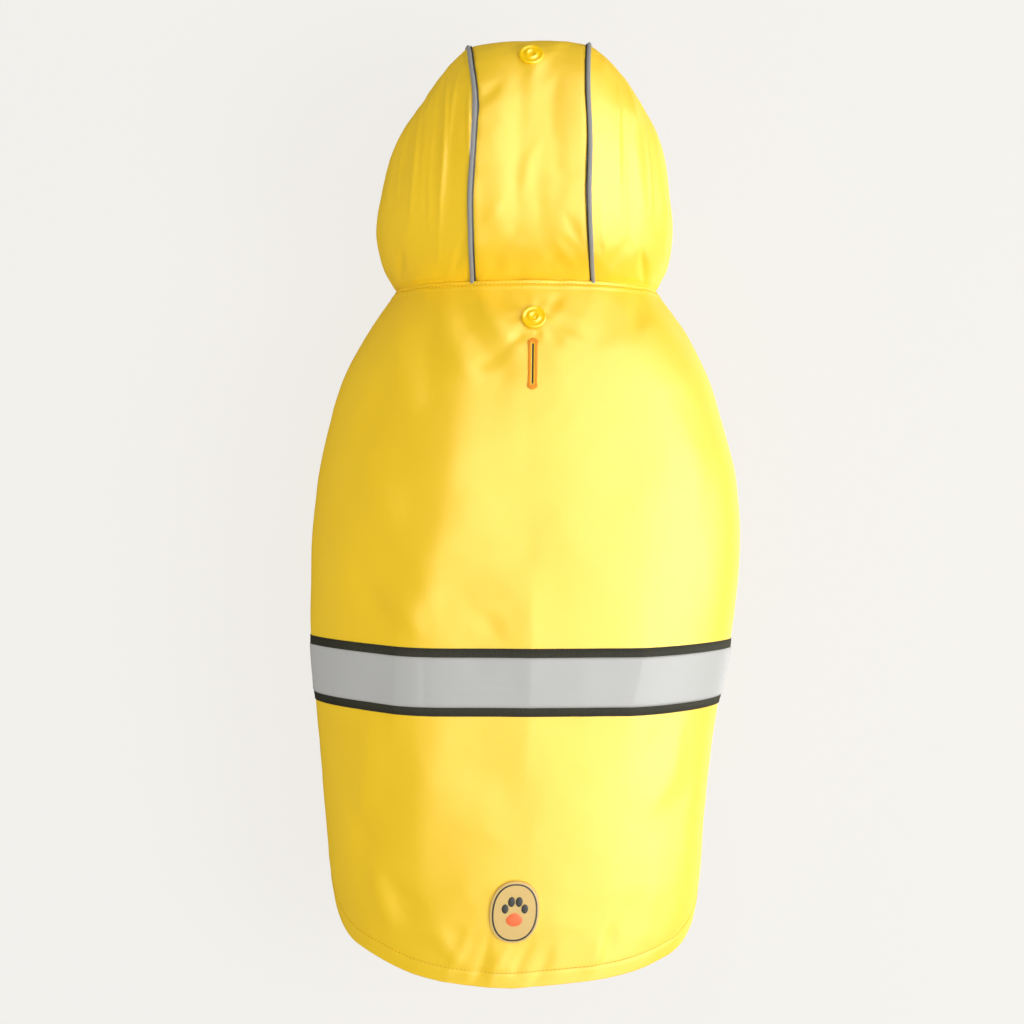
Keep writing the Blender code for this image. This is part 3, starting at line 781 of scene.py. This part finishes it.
def outlineOfBelly(side):
    # anticlockwise from the neck's seam corner, as (distance from spine, y)
    neck = back["neckY"]
    sideY = hemY(side * sideSeamShare)
    downs = np.linspace(neck, float(sideY), 60)
    a = np.stack([sideSeamShare * body.girth(side, downs) + 0.3, downs], -1)
    shares = np.linspace(sideSeamShare, 1.0, 34)[1:]
    y = hemY(side * shares)
    g = body.girth(side, y)
    start = sideSeamShare * g
    b = np.stack([start + (shares - sideSeamShare) / (1 - sideSeamShare)
                  * (g + belly["lap"] - start), y], -1)
    ups = np.linspace(float(y[-1]), neck, 64)[1:]
    c = np.stack([body.girth(side, ups) + belly["lap"], ups], -1)
    g = float(body.girth(side, neck))
    e = np.stack([np.linspace(g + belly["lap"], sideSeamShare * g + 0.3, 34)[1:-1],
                  np.full(32, neck)], -1)
    return np.concatenate([a, b, c, e])


def bellyLift(side, run, y):
    p = belly
    toCentre = body.girth(side, y) - run
    ramp = 0.0
    if side < 0:
        ramp = p["lapLift"] * step(-p["rampStart"], -p["rampEnd"], -toCentre)
    return (ramp + creaseLift(run, y + 3 * side, bellyCreases) * (1 - step(-30, -6, -toCentre))
            + 0.25 * softNoise(run, y + 40 * side, 17, 21))


def makeBelly(side):
    p = belly
    outer = outlineOfBelly(side)
    centre = np.array([p["legShare"] * float(body.girth(side, p["legY"])), p["legY"]])
    rel = outer - centre
    angle = np.arctan2(rel[:, 1] / p["legLength"], rel[:, 0] / p["legWidth"])
    inner = centre + np.stack([p["legWidth"] / 2 * np.cos(angle),
                               p["legLength"] / 2 * np.sin(angle)], -1)
    t = np.linspace(0, 1, p["rings"])[:, None, None] ** 1.15
    grid = inner * (1 - t) + outer * t
    run, y = grid[..., 0], grid[..., 1]
    loop = outer[60:157]
    lift = bellyLift(side, run, y) + hemFold(run, y, loop, p["hemWidth"], 31)
    ringGap, around = farFrom(run, y, np.concatenate([inner, inner[:1]]))
    lift = lift + 0.35 * (1 - step(5.5, 6.5, ringGap)) - 0.3 * np.exp(-((ringGap - 6) / 1.1) ** 2)
    lift = lift + 0.25 * np.sin(around / 1.9) * np.exp(-((ringGap - 6) / 4) ** 2)
    name = "bellyClothLeft" if side < 0 else "bellyClothRight"
    piece = clothPiece(name, body, side * run, y, lift, p["wall"], flip=side < 0, wrap=True)
    return piece, loop, inner, centre


bellyPieces = {side: makeBelly(side) for side in (-1, 1)}
print("belly panels made")


# hood
hoodLook = {"centreColumns": 56, "sideColumns": 150, "rows": 150, "gap": 1.15, "endShare": 0.92,
            "hemWidth": 9.0, "wall": 0.9, "snapT": 0.722}
# along the hood, y of a crease is the distance from the neck seam in millimetres
hoodLength = 152.0
hoodCreases = (
    # centre strip: a long soft ridge left of the middle, troughs right of it
    (-15, 18, -17, 118, 6.5, 0.8, 2), (-8, 40, -6, 110, 4.0, -0.6, -1), (3, 34, 6, 96, 5.0, -0.65, 2),
    (12, 22, 18, 44, 4.0, 0.3, 1), (17, 60, 14, 112, 5.0, 0.5, -1), (12, 48, 17, 124, 6.5, -0.9, 1),
    (9, 70, 13, 96, 3.0, -0.4, 1), (2, 100, 12, 116, 2.6, 0.45, 1), (-6, 44, 2, 62, 3.4, 0.6, 1),
    (20, 10, 12, 22, 2.6, 0.4, 0), (24, 22, 16, 34, 2.4, -0.45, 0), (-24, 30, -16, 40, 3.0, 0.5, 0),
    (-24, 84, -17, 92, 3.2, -0.9, 0), (8, 10, 20, 24, 4.5, -0.5, 2), (-20, 6, -10, 26, 4.0, -0.7, 2),
    (-10, 118, -4, 132, 3.6, -0.8, 1), (12, 120, 20, 134, 3.4, 0.7, 1), (0, 96, 3, 116, 3.6, 0.7, 0),
    # left side: narrow glossy folds that run up to the front
    (-50, 14, -44, 112, 1.6, 0.45, -2), (-56, 40, -47, 124, 2.6, -0.4, -2),
    (-60, 84, -44, 132, 2.4, 0.5, -2), (-70, 20, -62, 90, 6.0, 0.6, -3),
    (-80, 46, -66, 116, 5.0, -0.6, -3), (-42, 40, -36, 92, 2.4, -0.3, 1),
    (-92, 20, -80, 96, 7.0, 0.7, -3),
    # thin glossy lines and the lip beside the left piping
    (-48, 34, -44, 104, 1.1, 0.5, -1.5), (-42, 66, -36, 108, 1.0, 0.45, 1),
    (-54, 30, -50, 88, 1.2, 0.4, 1), (-60, 56, -57, 112, 1.4, -0.4, 1),
    (-31.2, 60, -30.4, 96, 1.1, 0.9, 0), (-34, 104, -35, 126, 0.9, 0.6, 0),
    (-66, 36, -62, 84, 1.3, 0.6, -1), (-52, 84, -45, 118, 1.1, 0.55, 1),
    (-76, 50, -70, 96, 1.5, 0.7, 1), (-40, 10, -34, 26, 1.8, -0.8, 0), (-78, 8, -74, 22, 2.6, -1.2, 0),
    # right side
    (64, 4, 60, 20, 2.6, -1.2, 0), (44, 50, 47, 104, 1.2, 0.6, 1), (52, 30, 53, 84, 1.3, -0.5, 1),
    (58, 70, 55, 116, 1.2, 0.5, 0), (66, 40, 64, 90, 1.4, 0.6, -1), (44, 34, 40, 104, 3.2, 0.6, 1),
    (52, 22, 48, 84, 3.4, -0.5, 1), (38, 8, 52, 26, 3.2, -0.6, 1), (60, 40, 54, 118, 5.0, 0.6, 2),
    (72, 24, 66, 104, 6.0, -0.7, 2), (34, 88, 38, 126, 2.6, 0.6, 0), (84, 30, 78, 100, 7.0, 1.0, 3),
    (36, 20, 34, 40, 2.4, 0.7, 0),
)


def hoodLift(d, t):
    along = np.asarray(t) * hoodLength
    lift = creaseLift(d, along, hoodCreases) + seamRise(d, t)
    lift = lift + 0.25 * softNoise(d, along, 15, 41) + 0.1 * softNoise(d, along, 6, 42)
    left, right = hoodSeam(-1, t), hoodSeam(1, t)
    for seam, inward in ((left, d - left), (right, right - d)):
        dip = np.where(inward > 0, 0.6, 0.35)
        pull = 0.3 * softNoise(along, 0 * along + np.sign(seam) * 9, 6, 43)
        lift = lift - dip * np.exp(-(inward / 2.2) ** 2) + pull * np.exp(-(inward / 6) ** 2)
    face = (1 - np.asarray(t)) * hoodLength
    lift = lift + 0.25 * (1 - step(8.8, 9.8, face)) - 0.3 * np.exp(-((face - 9.0) / 1.0) ** 2)
    lift = lift - 0.6 * np.exp(-(along / 2.2) ** 2)
    return lift + 0.35 * np.exp(-((along - 5) / 6) ** 2) * softNoise(d, 0 * along, 6, 44)


def hoodEdges(side, t):
    # where a hood panel starts and ends across; side 0 is the centre strip
    gap, end = hoodLook["gap"], hoodLook["endShare"]
    if side == 0:
        return hoodSeam(-1, t) + gap, hoodSeam(1, t) - gap
    seam = hoodSeam(side, t) + side * gap
    foot = side * end * hood.girth(side, t)
    return (foot, seam) if side < 0 else (seam, foot)


def hoodCloth(name, side, columns):
    # columns lie closer together near the crown, where the fine folds are
    t = np.linspace(-0.008, 1, hoodLook["rows"])[:, None]
    s = np.linspace(0, 1, columns)[None]
    if side:
        s = s ** 1.5 if side > 0 else 1 - (1 - s) ** 1.5
    a, b = hoodEdges(side, t)
    d, t = np.broadcast_arrays(a + (b - a) * s, t)
    return clothPiece(name, hood, d, t, hoodLift(d, t), hoodLook["wall"], flip=True,
                      uv=np.stack([d, t * hoodLength], -1))


hoodCenter = hoodCloth("hoodClothCenter", 0, hoodLook["centreColumns"])
hoodLeft = hoodCloth("hoodClothLeft", -1, hoodLook["sideColumns"])
hoodRight = hoodCloth("hoodClothRight", 1, hoodLook["sideColumns"])
print("hood made")

# piping
cord = {"halfWidth": 1.08, "rise": 0.95, "rows": 260, "depth": 2.2,
        "shadeWidth": 0.75, "shadeRise": 0.1}


def makePiping(side):
    # a flattened cord, with a dark strip of painted shade along its flange on the centre strip's side
    t = np.linspace(-0.004, 1.0, cord["rows"])
    along = t * hoodLength
    d = hoodSeam(side, t) + 0.25 * softNoise(along, 0 * t + side * 5, 26, 51)
    out = hood.normal(d, t)
    centre = hood.at(d, t) + out * (seamRise(hoodSeam(side, t), t) + cord["rise"] - 1.0)[:, None]
    across = hood.at(d + 1, t) - hood.at(d - 1, t)
    across /= np.linalg.norm(across, axis=1, keepdims=True)
    across *= -side
    shade = cord["shadeWidth"] * (1 if side < 0 else 0.6)
    angle = np.linspace(0, math.pi, 13)
    w, deep = cord["halfWidth"], cord["depth"]
    a = np.concatenate([[-w * 0.8], -w * np.cos(angle), [w * 0.92, w + shade, w + shade, w * 0.8]])
    b = np.concatenate([[-deep], 0.15 + 0.95 * np.sin(angle),
                        [-0.15, cord["shadeRise"], -0.5, -deep]])
    swell = 1 + 0.05 * softNoise(along, 0 * t, 5, 52)
    if side < 0:
        # the cord is joined here and stands a little thicker
        swell = swell + 0.18 * np.exp(-((along - 80) / 4.0) ** 4)
    rings = (centre[:, None] + swell[:, None, None]
             * (across[:, None] * a[None, :, None] + out[:, None] * b[None, :, None]))
    count, sides = rings.shape[:2]
    flip = side > 0
    faces = gridFaces(count, sides, flip=flip, wrap=True)
    # the flange's three faces carry painted shade, dark where the cord meets the centre strip
    paintedShadeFaces = [1 if 14 <= i % sides <= 16 else 0 for i in range(len(faces))]
    ends = [list(range(sides)), list(range((count - 1) * sides, count * sides))]
    faces += [ends[0] if flip else ends[0][::-1], ends[1][::-1] if flip else ends[1]]
    name = "pipingLeft" if side < 0 else "pipingRight"
    piece = meshPiece(name, rings.reshape(-1, 3), faces, [piping, darkRubberAndPaintedShade],
                      faceMaterials=paintedShadeFaces + [0, 0])
    return standFor(piece, "piping_left" if side < 0 else "piping_right")


pipes = [makePiping(side) for side in (-1, 1)]
print("piping made")

# reflective band
band = {"y": -138.5, "ribbonWidth": 34.0, "tapeWidth": 25.0, "ribPitch": 0.95,
        "ribbonLift": 0.45, "tapeLift": 0.95, "ribDepth": 0.16}


def bandBow(d):
    # the band climbs a little toward the sides
    return 3.2 * step(45, 130, -d) + 1.4 * step(50, 120, d)


def bandGrid(width, columns, rows):
    y = band["y"] + width * np.linspace(0.5, -0.5, rows)
    s = np.linspace(-sideSeamShare + 0.001, sideSeamShare - 0.001, columns)
    y, s = np.meshgrid(y, s, indexing="ij")
    d = fromSpine(s, y)
    return d, y + bandBow(d)


def makeBand():
    girth = float(body.girth(-1, band["y"]) + body.girth(1, band["y"])) * sideSeamShare
    columns = int(girth / band["ribPitch"]) * 4 + 1
    d, y = bandGrid(band["ribbonWidth"], columns, 11)
    edge = band["ribbonWidth"] / 2 - np.abs(y - bandBow(d) - band["y"])
    ribs = band["ribDepth"] * np.sin(2 * math.pi * d / band["ribPitch"])
    lift = clothLift(d, y) + band["ribbonLift"] + ribs - 0.25 * np.exp(-(edge / 0.8) ** 2)
    strip = clothPiece("ribbonCloth", body, d, y, lift, 0.35, materials=[ribbon])
    d, y = bandGrid(band["tapeWidth"], 520, 21)
    edge = band["tapeWidth"] / 2 - np.abs(y - bandBow(d) - band["y"])
    lift = clothLift(d, y) + band["tapeLift"] - 0.2 * np.exp(-(edge / 0.6) ** 2)
    lift = lift + 0.10 * np.exp(-((edge - 1.6) / 0.5) ** 2)
    lift = lift - 0.12 * np.exp(-((y - band["y"] + 1.5) / 1.2) ** 2) * (1 - step(-10, 0, d))
    silver = clothPiece("tapeCloth", body, d, y, lift, 0.25, materials=[tape])
    return strip, silver


ribbonCloth, tapeCloth = makeBand()
print("band made")


# snaps
snap = {"steps": 72, "lift": 0.18}
# radius and height round the snap's face, and round the cap behind the cloth
snapProfile = ((0.0, 1.2), (0.5, 1.18), (0.95, 1.0), (1.35, 1.02), (1.7, 1.35), (1.95, 1.75),
               (2.2, 1.95), (2.55, 2.0), (2.85, 1.9), (3.05, 1.65), (3.2, 1.3), (3.4, 1.08),
               (3.8, 1.02), (4.4, 1.04), (4.75, 1.15), (5.1, 1.4), (5.45, 1.5), (5.8, 1.4),
               (6.05, 1.1), (6.2, 0.7), (6.2, 0.15), (6.0, 0.0), (0.0, 0.0))
capProfile = ((0.0, -2.6), (2.5, -2.5), (4.4, -2.1), (5.2, -1.7), (5.2, -1.45), (0.0, -1.4))


def lathe(profile, steps, reverse=False):
    points, faces, rings = [], [], []
    for radius, height in profile:
        start = len(points)
        if radius == 0:
            points.append((0, 0, height))
            rings.append([start] * steps)
        else:
            a = np.linspace(0, 2 * math.pi, steps, endpoint=False)
            points += [(radius * math.cos(x), radius * math.sin(x), height) for x in a]
            rings.append(list(range(start, start + steps)))
    for up, down in zip(rings[:-1], rings[1:]):
        for i in range(steps):
            n = (i + 1) % steps
            quad = [up[i], down[i], down[n], up[n]]
            face = [v for k, v in enumerate(quad) if v != quad[k - 1]]
            faces.append(face[::-1] if reverse else face)
    return np.array(points, float), faces


def makeSnap(name, node, point, normal):
    turn = Vector(normal).to_track_quat("Z", "Y").to_matrix()
    points, faces = joined([lathe(snapProfile, snap["steps"]),
                            lathe(capProfile, snap["steps"], reverse=True)])
    turned = points @ np.array(turn).T + point + np.array(normal) * snap["lift"]
    piece = meshPiece(name, turned, faces, [snapPlastic])
    piece.data.set_sharp_from_angle(angle=math.radians(60))
    return standFor(piece, node)


t = np.array([hoodLook["snapT"]])
spot, out = hood.at([0.0], t)[0], hood.normal([0.0], t)[0]
hoodSnap = makeSnap("snapHood", "snap_hood", spot + out * seamRise(0.0, t), out)
d, y = np.array([back["snapAt"][0]]), np.array([back["snapAt"][1]])
napeSnap = makeSnap("snapNape", "snap_nape", body.at(d, y)[0], body.normal(d, y)[0])
print("snaps made")


# leash slit
slit = {"length": 26.0, "width": 4.2, "satinLoop": (3.15, 24.2), "bars": 5, "barHalf": 1.9,
        # width, length and height of each ring of the binding, from its edge into the slit; the
        # innermost bands are painted shade
        "rings": ((4.2, 26.0, 0.12), (3.7, 25.5, 0.30), (2.0, 21.8, 0.36), (1.15, 20.8, 0.30),
                  (0.75, 20.2, 0.1), (0.65, 20.0, -1.3))}


def slotLoop(width, length, count=160):
    radius, straight = width / 2, (length - width) / 2
    a = np.linspace(0, 2 * math.pi, count, endpoint=False) + 1e-6
    x, z = radius * np.cos(a), radius * np.sin(a)
    return np.stack([x, z + np.sign(np.sin(a)) * straight], -1)


def makeSlit():
    cx, cy = back["slitAt"]
    rings = []
    for width, length, height in slit["rings"]:
        d, y = (slotLoop(width, length) + (cx, cy)).T
        lift = backLift(d, y) + height
        rings.append(body.at(d, y) + body.normal(d, y) * lift[:, None])
    count = len(rings[0])
    # the two innermost bands are painted shade, dark where the inside of the slit lies in shadow
    piece = meshPiece("slitEdge", np.concatenate(rings), gridFaces(len(rings), count, wrap=True),
                      [orangeThread, yellowThread, darkRubberAndPaintedShade],
                      faceMaterials=np.repeat([0, 0, 1, 2, 2], count))
    thicken(piece, 0.3)
    standFor(piece, "slit_binding")
    loop = slotLoop(*slit["satinLoop"], 400)
    loop = np.concatenate([loop, loop[:1]]) + (cx, cy)
    satin = stitchPiece("slitStitches", [pathOn(body, loop, lambda d, y: backLift(d, y) + 0.48)],
                        orangeThread, "thread", Pitch=0.00062, Length=0.002, Width=0.0005,
                        Height=0.00065, Turn=math.pi / 2 - 0.5, Uneven=0.45)
    bars = []
    for end in (-1, 1):
        for k in range(slit["bars"]):
            y = cy + end * (slit["length"] / 2 - 1.0 - 0.42 * k)
            line = np.stack([cx + np.linspace(-slit["barHalf"], slit["barHalf"], 9),
                             np.full(9, y)], -1)
            bars.append(pathOn(body, line, lambda d, y: backLift(d, y) + 0.5))
    tacks = stitchPiece("slitBarTacks", bars, orangeThread, "thread", Pitch=0.0013,
                        Length=0.0016, Width=0.00042, Height=0.0004, Uneven=0.1)
    return piece, satin, tacks


slitPieces = makeSlit()
print("slit made")


# badge, with a plain paw
badge = {"at": (-1.4, -254.3), "width": 25.0, "length": 32.0, "thickness": 1.6, "lift": 0.35,
         "lineInset": 1.3, "lineWidth": 0.55,
         # the paw's pads: middle, size and which of the three rubbers
         "pads": (((0.0, -3.6), (8.6, 7.0), 2), ((-4.9, 2.0), (3.4, 4.8), 1),
                  ((-1.9, 5.6), (3.5, 5.2), 1), ((1.9, 5.6), (3.5, 5.2), 1),
                  ((4.9, 2.0), (3.4, 4.8), 1))}


def ovalLoop(width, length, count=72, power=2.25):
    a = np.linspace(0, 2 * math.pi, count, endpoint=False)
    c, s = np.cos(a), np.sin(a)
    return np.stack([width / 2 * np.sign(c) * np.abs(c) ** (2 / power),
                     length / 2 * np.sign(s) * np.abs(s) ** (2 / power)], -1)


def reliefFaces(loops, heights):
    # rings of points from the outside in, with the first and last ones filled
    cx, cy = badge["at"]
    rings = []
    for loop, height in zip(loops, heights):
        d, y = cx + loop[:, 0], cy + loop[:, 1]
        rings.append(body.at(d, y) + body.normal(d, y) * height)
    count = len(loops[0])
    faces = gridFaces(len(rings), count, wrap=True)
    faces.append(list(range((len(rings) - 1) * count, len(rings) * count)))
    faces.append(list(range(count))[::-1])
    return np.concatenate(rings), faces


def makeBadge():
    p = badge
    top = p["lift"] + p["thickness"]
    w, l, line, wide = p["width"], p["length"], p["lineInset"], p["lineWidth"]
    insets = (0.5, 0.0, 0.0, 0.25, line - 0.15, line, line + wide, line + wide + 0.15, 4, 8, 11)
    heights = (p["lift"], p["lift"], top - 0.45, top, top + 0.05, top + 0.16, top + 0.16,
               top - 0.05, top - 0.05, top - 0.05, top - 0.05)
    parts = [reliefFaces([ovalLoop(w - 2 * i, l - 2 * i) for i in insets], heights)]
    # the raised line is dark, and the rest of the plate is tan
    colours = [1 if 4 <= i // 72 <= 6 else 0 for i in range(72 * (len(insets) - 1))] + [0, 0]
    for middle, size, colour in p["pads"]:
        shape = ovalLoop(1, 1, 40, 2.0)
        if colour == 2:
            pinch = 1 - 0.22 * np.exp(-((shape[:, 1] - 0.5) / 0.35) ** 2)
            shape = np.stack([shape[:, 0] * pinch, shape[:, 1]], -1)
        loops = [shape * np.multiply(size, k) + middle for k in (1.0, 0.97, 0.86, 0.5, 0.15)]
        parts.append(reliefFaces(loops, (top - 0.2, top + 0.15, top + 0.34, top + 0.42,
                                         top + 0.43)))
        colours += [colour] * len(parts[-1][1])
    points, faces = joined(parts)
    piece = meshPiece("badgePlate", points, faces, [tanRubber, darkRubberAndPaintedShade, coralRubber],
                      faceMaterials=colours)
    piece.data.set_sharp_from_angle(angle=math.radians(40))
    return standFor(piece, "badge")


badgePlate = makeBadge()
print("badge made")


# belly fastener
fastener = {"top": 56.5, "foot": -137.0, "halfWidth": 12.0, "rows": 120, "columns": 22, "lift": 1.45}


def makeFastener():
    p = fastener
    y, past = np.meshgrid(np.linspace(p["top"], p["foot"], p["rows"]),
                          np.linspace(-p["halfWidth"], p["halfWidth"], p["columns"]), indexing="ij")
    d = body.girth(1, y) + past
    edge = np.minimum(p["halfWidth"] - np.abs(past), 6)
    lift = p["lift"] + 0.12 * softNoise(d, y, 1.6, 61) - 0.4 * np.exp(-(edge / 1.0) ** 2)
    piece = clothPiece("bellyHookStrip", body, d, y, lift, 1.0, materials=[hookLook])
    return standFor(piece, "belly_fastener")


hookStrip = makeFastener()

# seams' stitches
hemStitchLine = insetLine(hemEdge, back["hemWidth"])
hemStitches = sewnLine(
    "hemStitches", [pathOn(body, hemStitchLine[2:-2], lambda d, y: backLift(d, y) + 0.05)])
share = np.linspace(-sideSeamShare, sideSeamShare, 300)
neckY = np.full(300, back["neckY"] - back["neckStitch"])
neckLine = np.stack([fromSpine(share, neckY), neckY], -1)
neckStitches = sewnLine(
    "neckStitches", [pathOn(body, neckLine, lambda d, y: backLift(d, y) + 0.05)])


def bellyStitches(side):
    piece, loop, inner, centre = bellyPieces[side]
    ring = centre + (inner - centre) * (1 + 2 * 6.0 / (belly["legWidth"] + 6))
    ring = np.concatenate([ring, ring[:1]])
    hem = insetLine(loop, belly["hemWidth"])[3:-3]
    paths = []
    for line in (hem, ring):
        spots = line * (side, 1)
        paths.append(pathOn(body, spots, lambda d, y: bellyLift(side, np.abs(d), y) + 0.1))
    name = "bellyStitchesLeft" if side < 0 else "bellyStitchesRight"
    return sewnLine(name, paths)


bellySewing = {side: bellyStitches(side) for side in (-1, 1)}


def hoodStitches():
    t = 1 - hoodLook["hemWidth"] / hoodLength
    paths = []
    for side in (-1, 0, 1):
        start, end = hoodEdges(side, t)
        line = np.stack([np.linspace(float(start), float(end), 90), np.full(90, t)], -1)
        paths.append(pathOn(hood, line, lambda d, v: hoodLift(d, v) + 0.05))
    return sewnLine("hoodStitches", paths)


hoodSewing = hoodStitches()
print("stitches made")

# each cloth piece is tied to the root, and its part of the frame is hidden
asSheet(backCloth, "back_panel")
asSheet(bellyPieces[-1][0], "belly_left")
asSheet(bellyPieces[1][0], "belly_right")
asSheet(hoodCenter, "hood_center")
asSheet(hoodLeft, "hood_left")
asSheet(hoodRight, "hood_right")
asSheet(ribbonCloth, "band_ribbon")
asSheet(tapeCloth, "band_tape")


# floor, light and camera
view = {"lens": 60.0, "sensor": 36.0, "place": (-10.25, -53.5, 853.3)}
# the floor is a pale light table, so shadows on it stay faint
room = {"floorZ": cadBox[0][2] - 0.002, "half": 3000, "floorColour": (0.11, 0.108, 0.105),
        "floorGlow": (0.785, 0.771, 0.743), "dome": 0.62,
        "lampAim": (0, -0.06, -0.05)}
# name: place, its size along the coat and across it, watts, lights diffuse, lights glossy
lamps = {
    "keyRight": ((0.90, -0.22, 1.20), (1.0, 1.0), 13.5, True, True),
    "glossRight": ((1.00, -0.08, 1.40), (4.2, 3.2), 480.0, False, True),
    "glossEdge": ((1.65, -0.10, 0.40), (2.6, 1.6), 100.0, False, True),
    "glossUnder": ((1.15, -0.05, -0.75), (2.4, 1.6), 26.0, False, True),
    "lowRight": ((1.40, -0.10, 0.12), (0.9, 0.9), 5.0, True, True),
    "lowLeft": ((-1.40, -0.10, 0.25), (1.0, 1.0), 4.0, True, False),
}


def makeRoom():
    z, half = room["floorZ"] / mm, room["half"]
    corners = [(-half, -half, z), (half, -half, z), (half, half, z), (-half, half, z)]
    floor = meshPiece("paleFloor", corners, [[0, 1, 2, 3]], [], smooth=False)
    material, tree, shader = newMaterial("paleFloor", room["floorColour"], 0.9, 0.0)
    shader.inputs["Emission Color"].default_value = (*room["floorGlow"], 1)
    shader.inputs["Emission Strength"].default_value = 1.0
    floor.data.materials.append(material)
    floor.visible_glossy = False


def addLamp(name, place, size, power, diffuse, glossy):
    light = bpy.data.lights.new(name, "AREA")
    light.shape = "ELLIPSE"
    light.size, light.size_y = size
    light.energy = power
    lamp = bpy.data.objects.new(name, light)
    lamp.location = place
    aim = Vector(room["lampAim"]) - Vector(place)
    lamp.rotation_euler = aim.to_track_quat("-Z", "Y").to_euler()
    lamp.visible_diffuse = diffuse
    lamp.visible_glossy = glossy
    lamp.visible_camera = False
    bpy.context.scene.collection.objects.link(lamp)


makeRoom()
for lampName, lampValues in lamps.items():
    addLamp(lampName, *lampValues)
world = bpy.data.worlds.new("softRoom")
world.use_nodes = True
dome = world.node_tree.nodes["Background"]
dome.inputs["Color"].default_value = (1.0, 0.99, 0.97, 1)
dome.inputs["Strength"].default_value = room["dome"]
world.cycles_visibility.glossy = False
bpy.context.scene.world = world
camera = bpy.data.cameras.new("camera")
camera.lens = view["lens"]
camera.sensor_width = view["sensor"]
cameraObject = bpy.data.objects.new("camera", camera)
cameraObject.location = [c * mm for c in view["place"]]
bpy.context.scene.collection.objects.link(cameraObject)
bpy.context.scene.camera = cameraObject
bpy.context.scene.view_settings.view_transform = "Standard"
print("room, light and camera set")
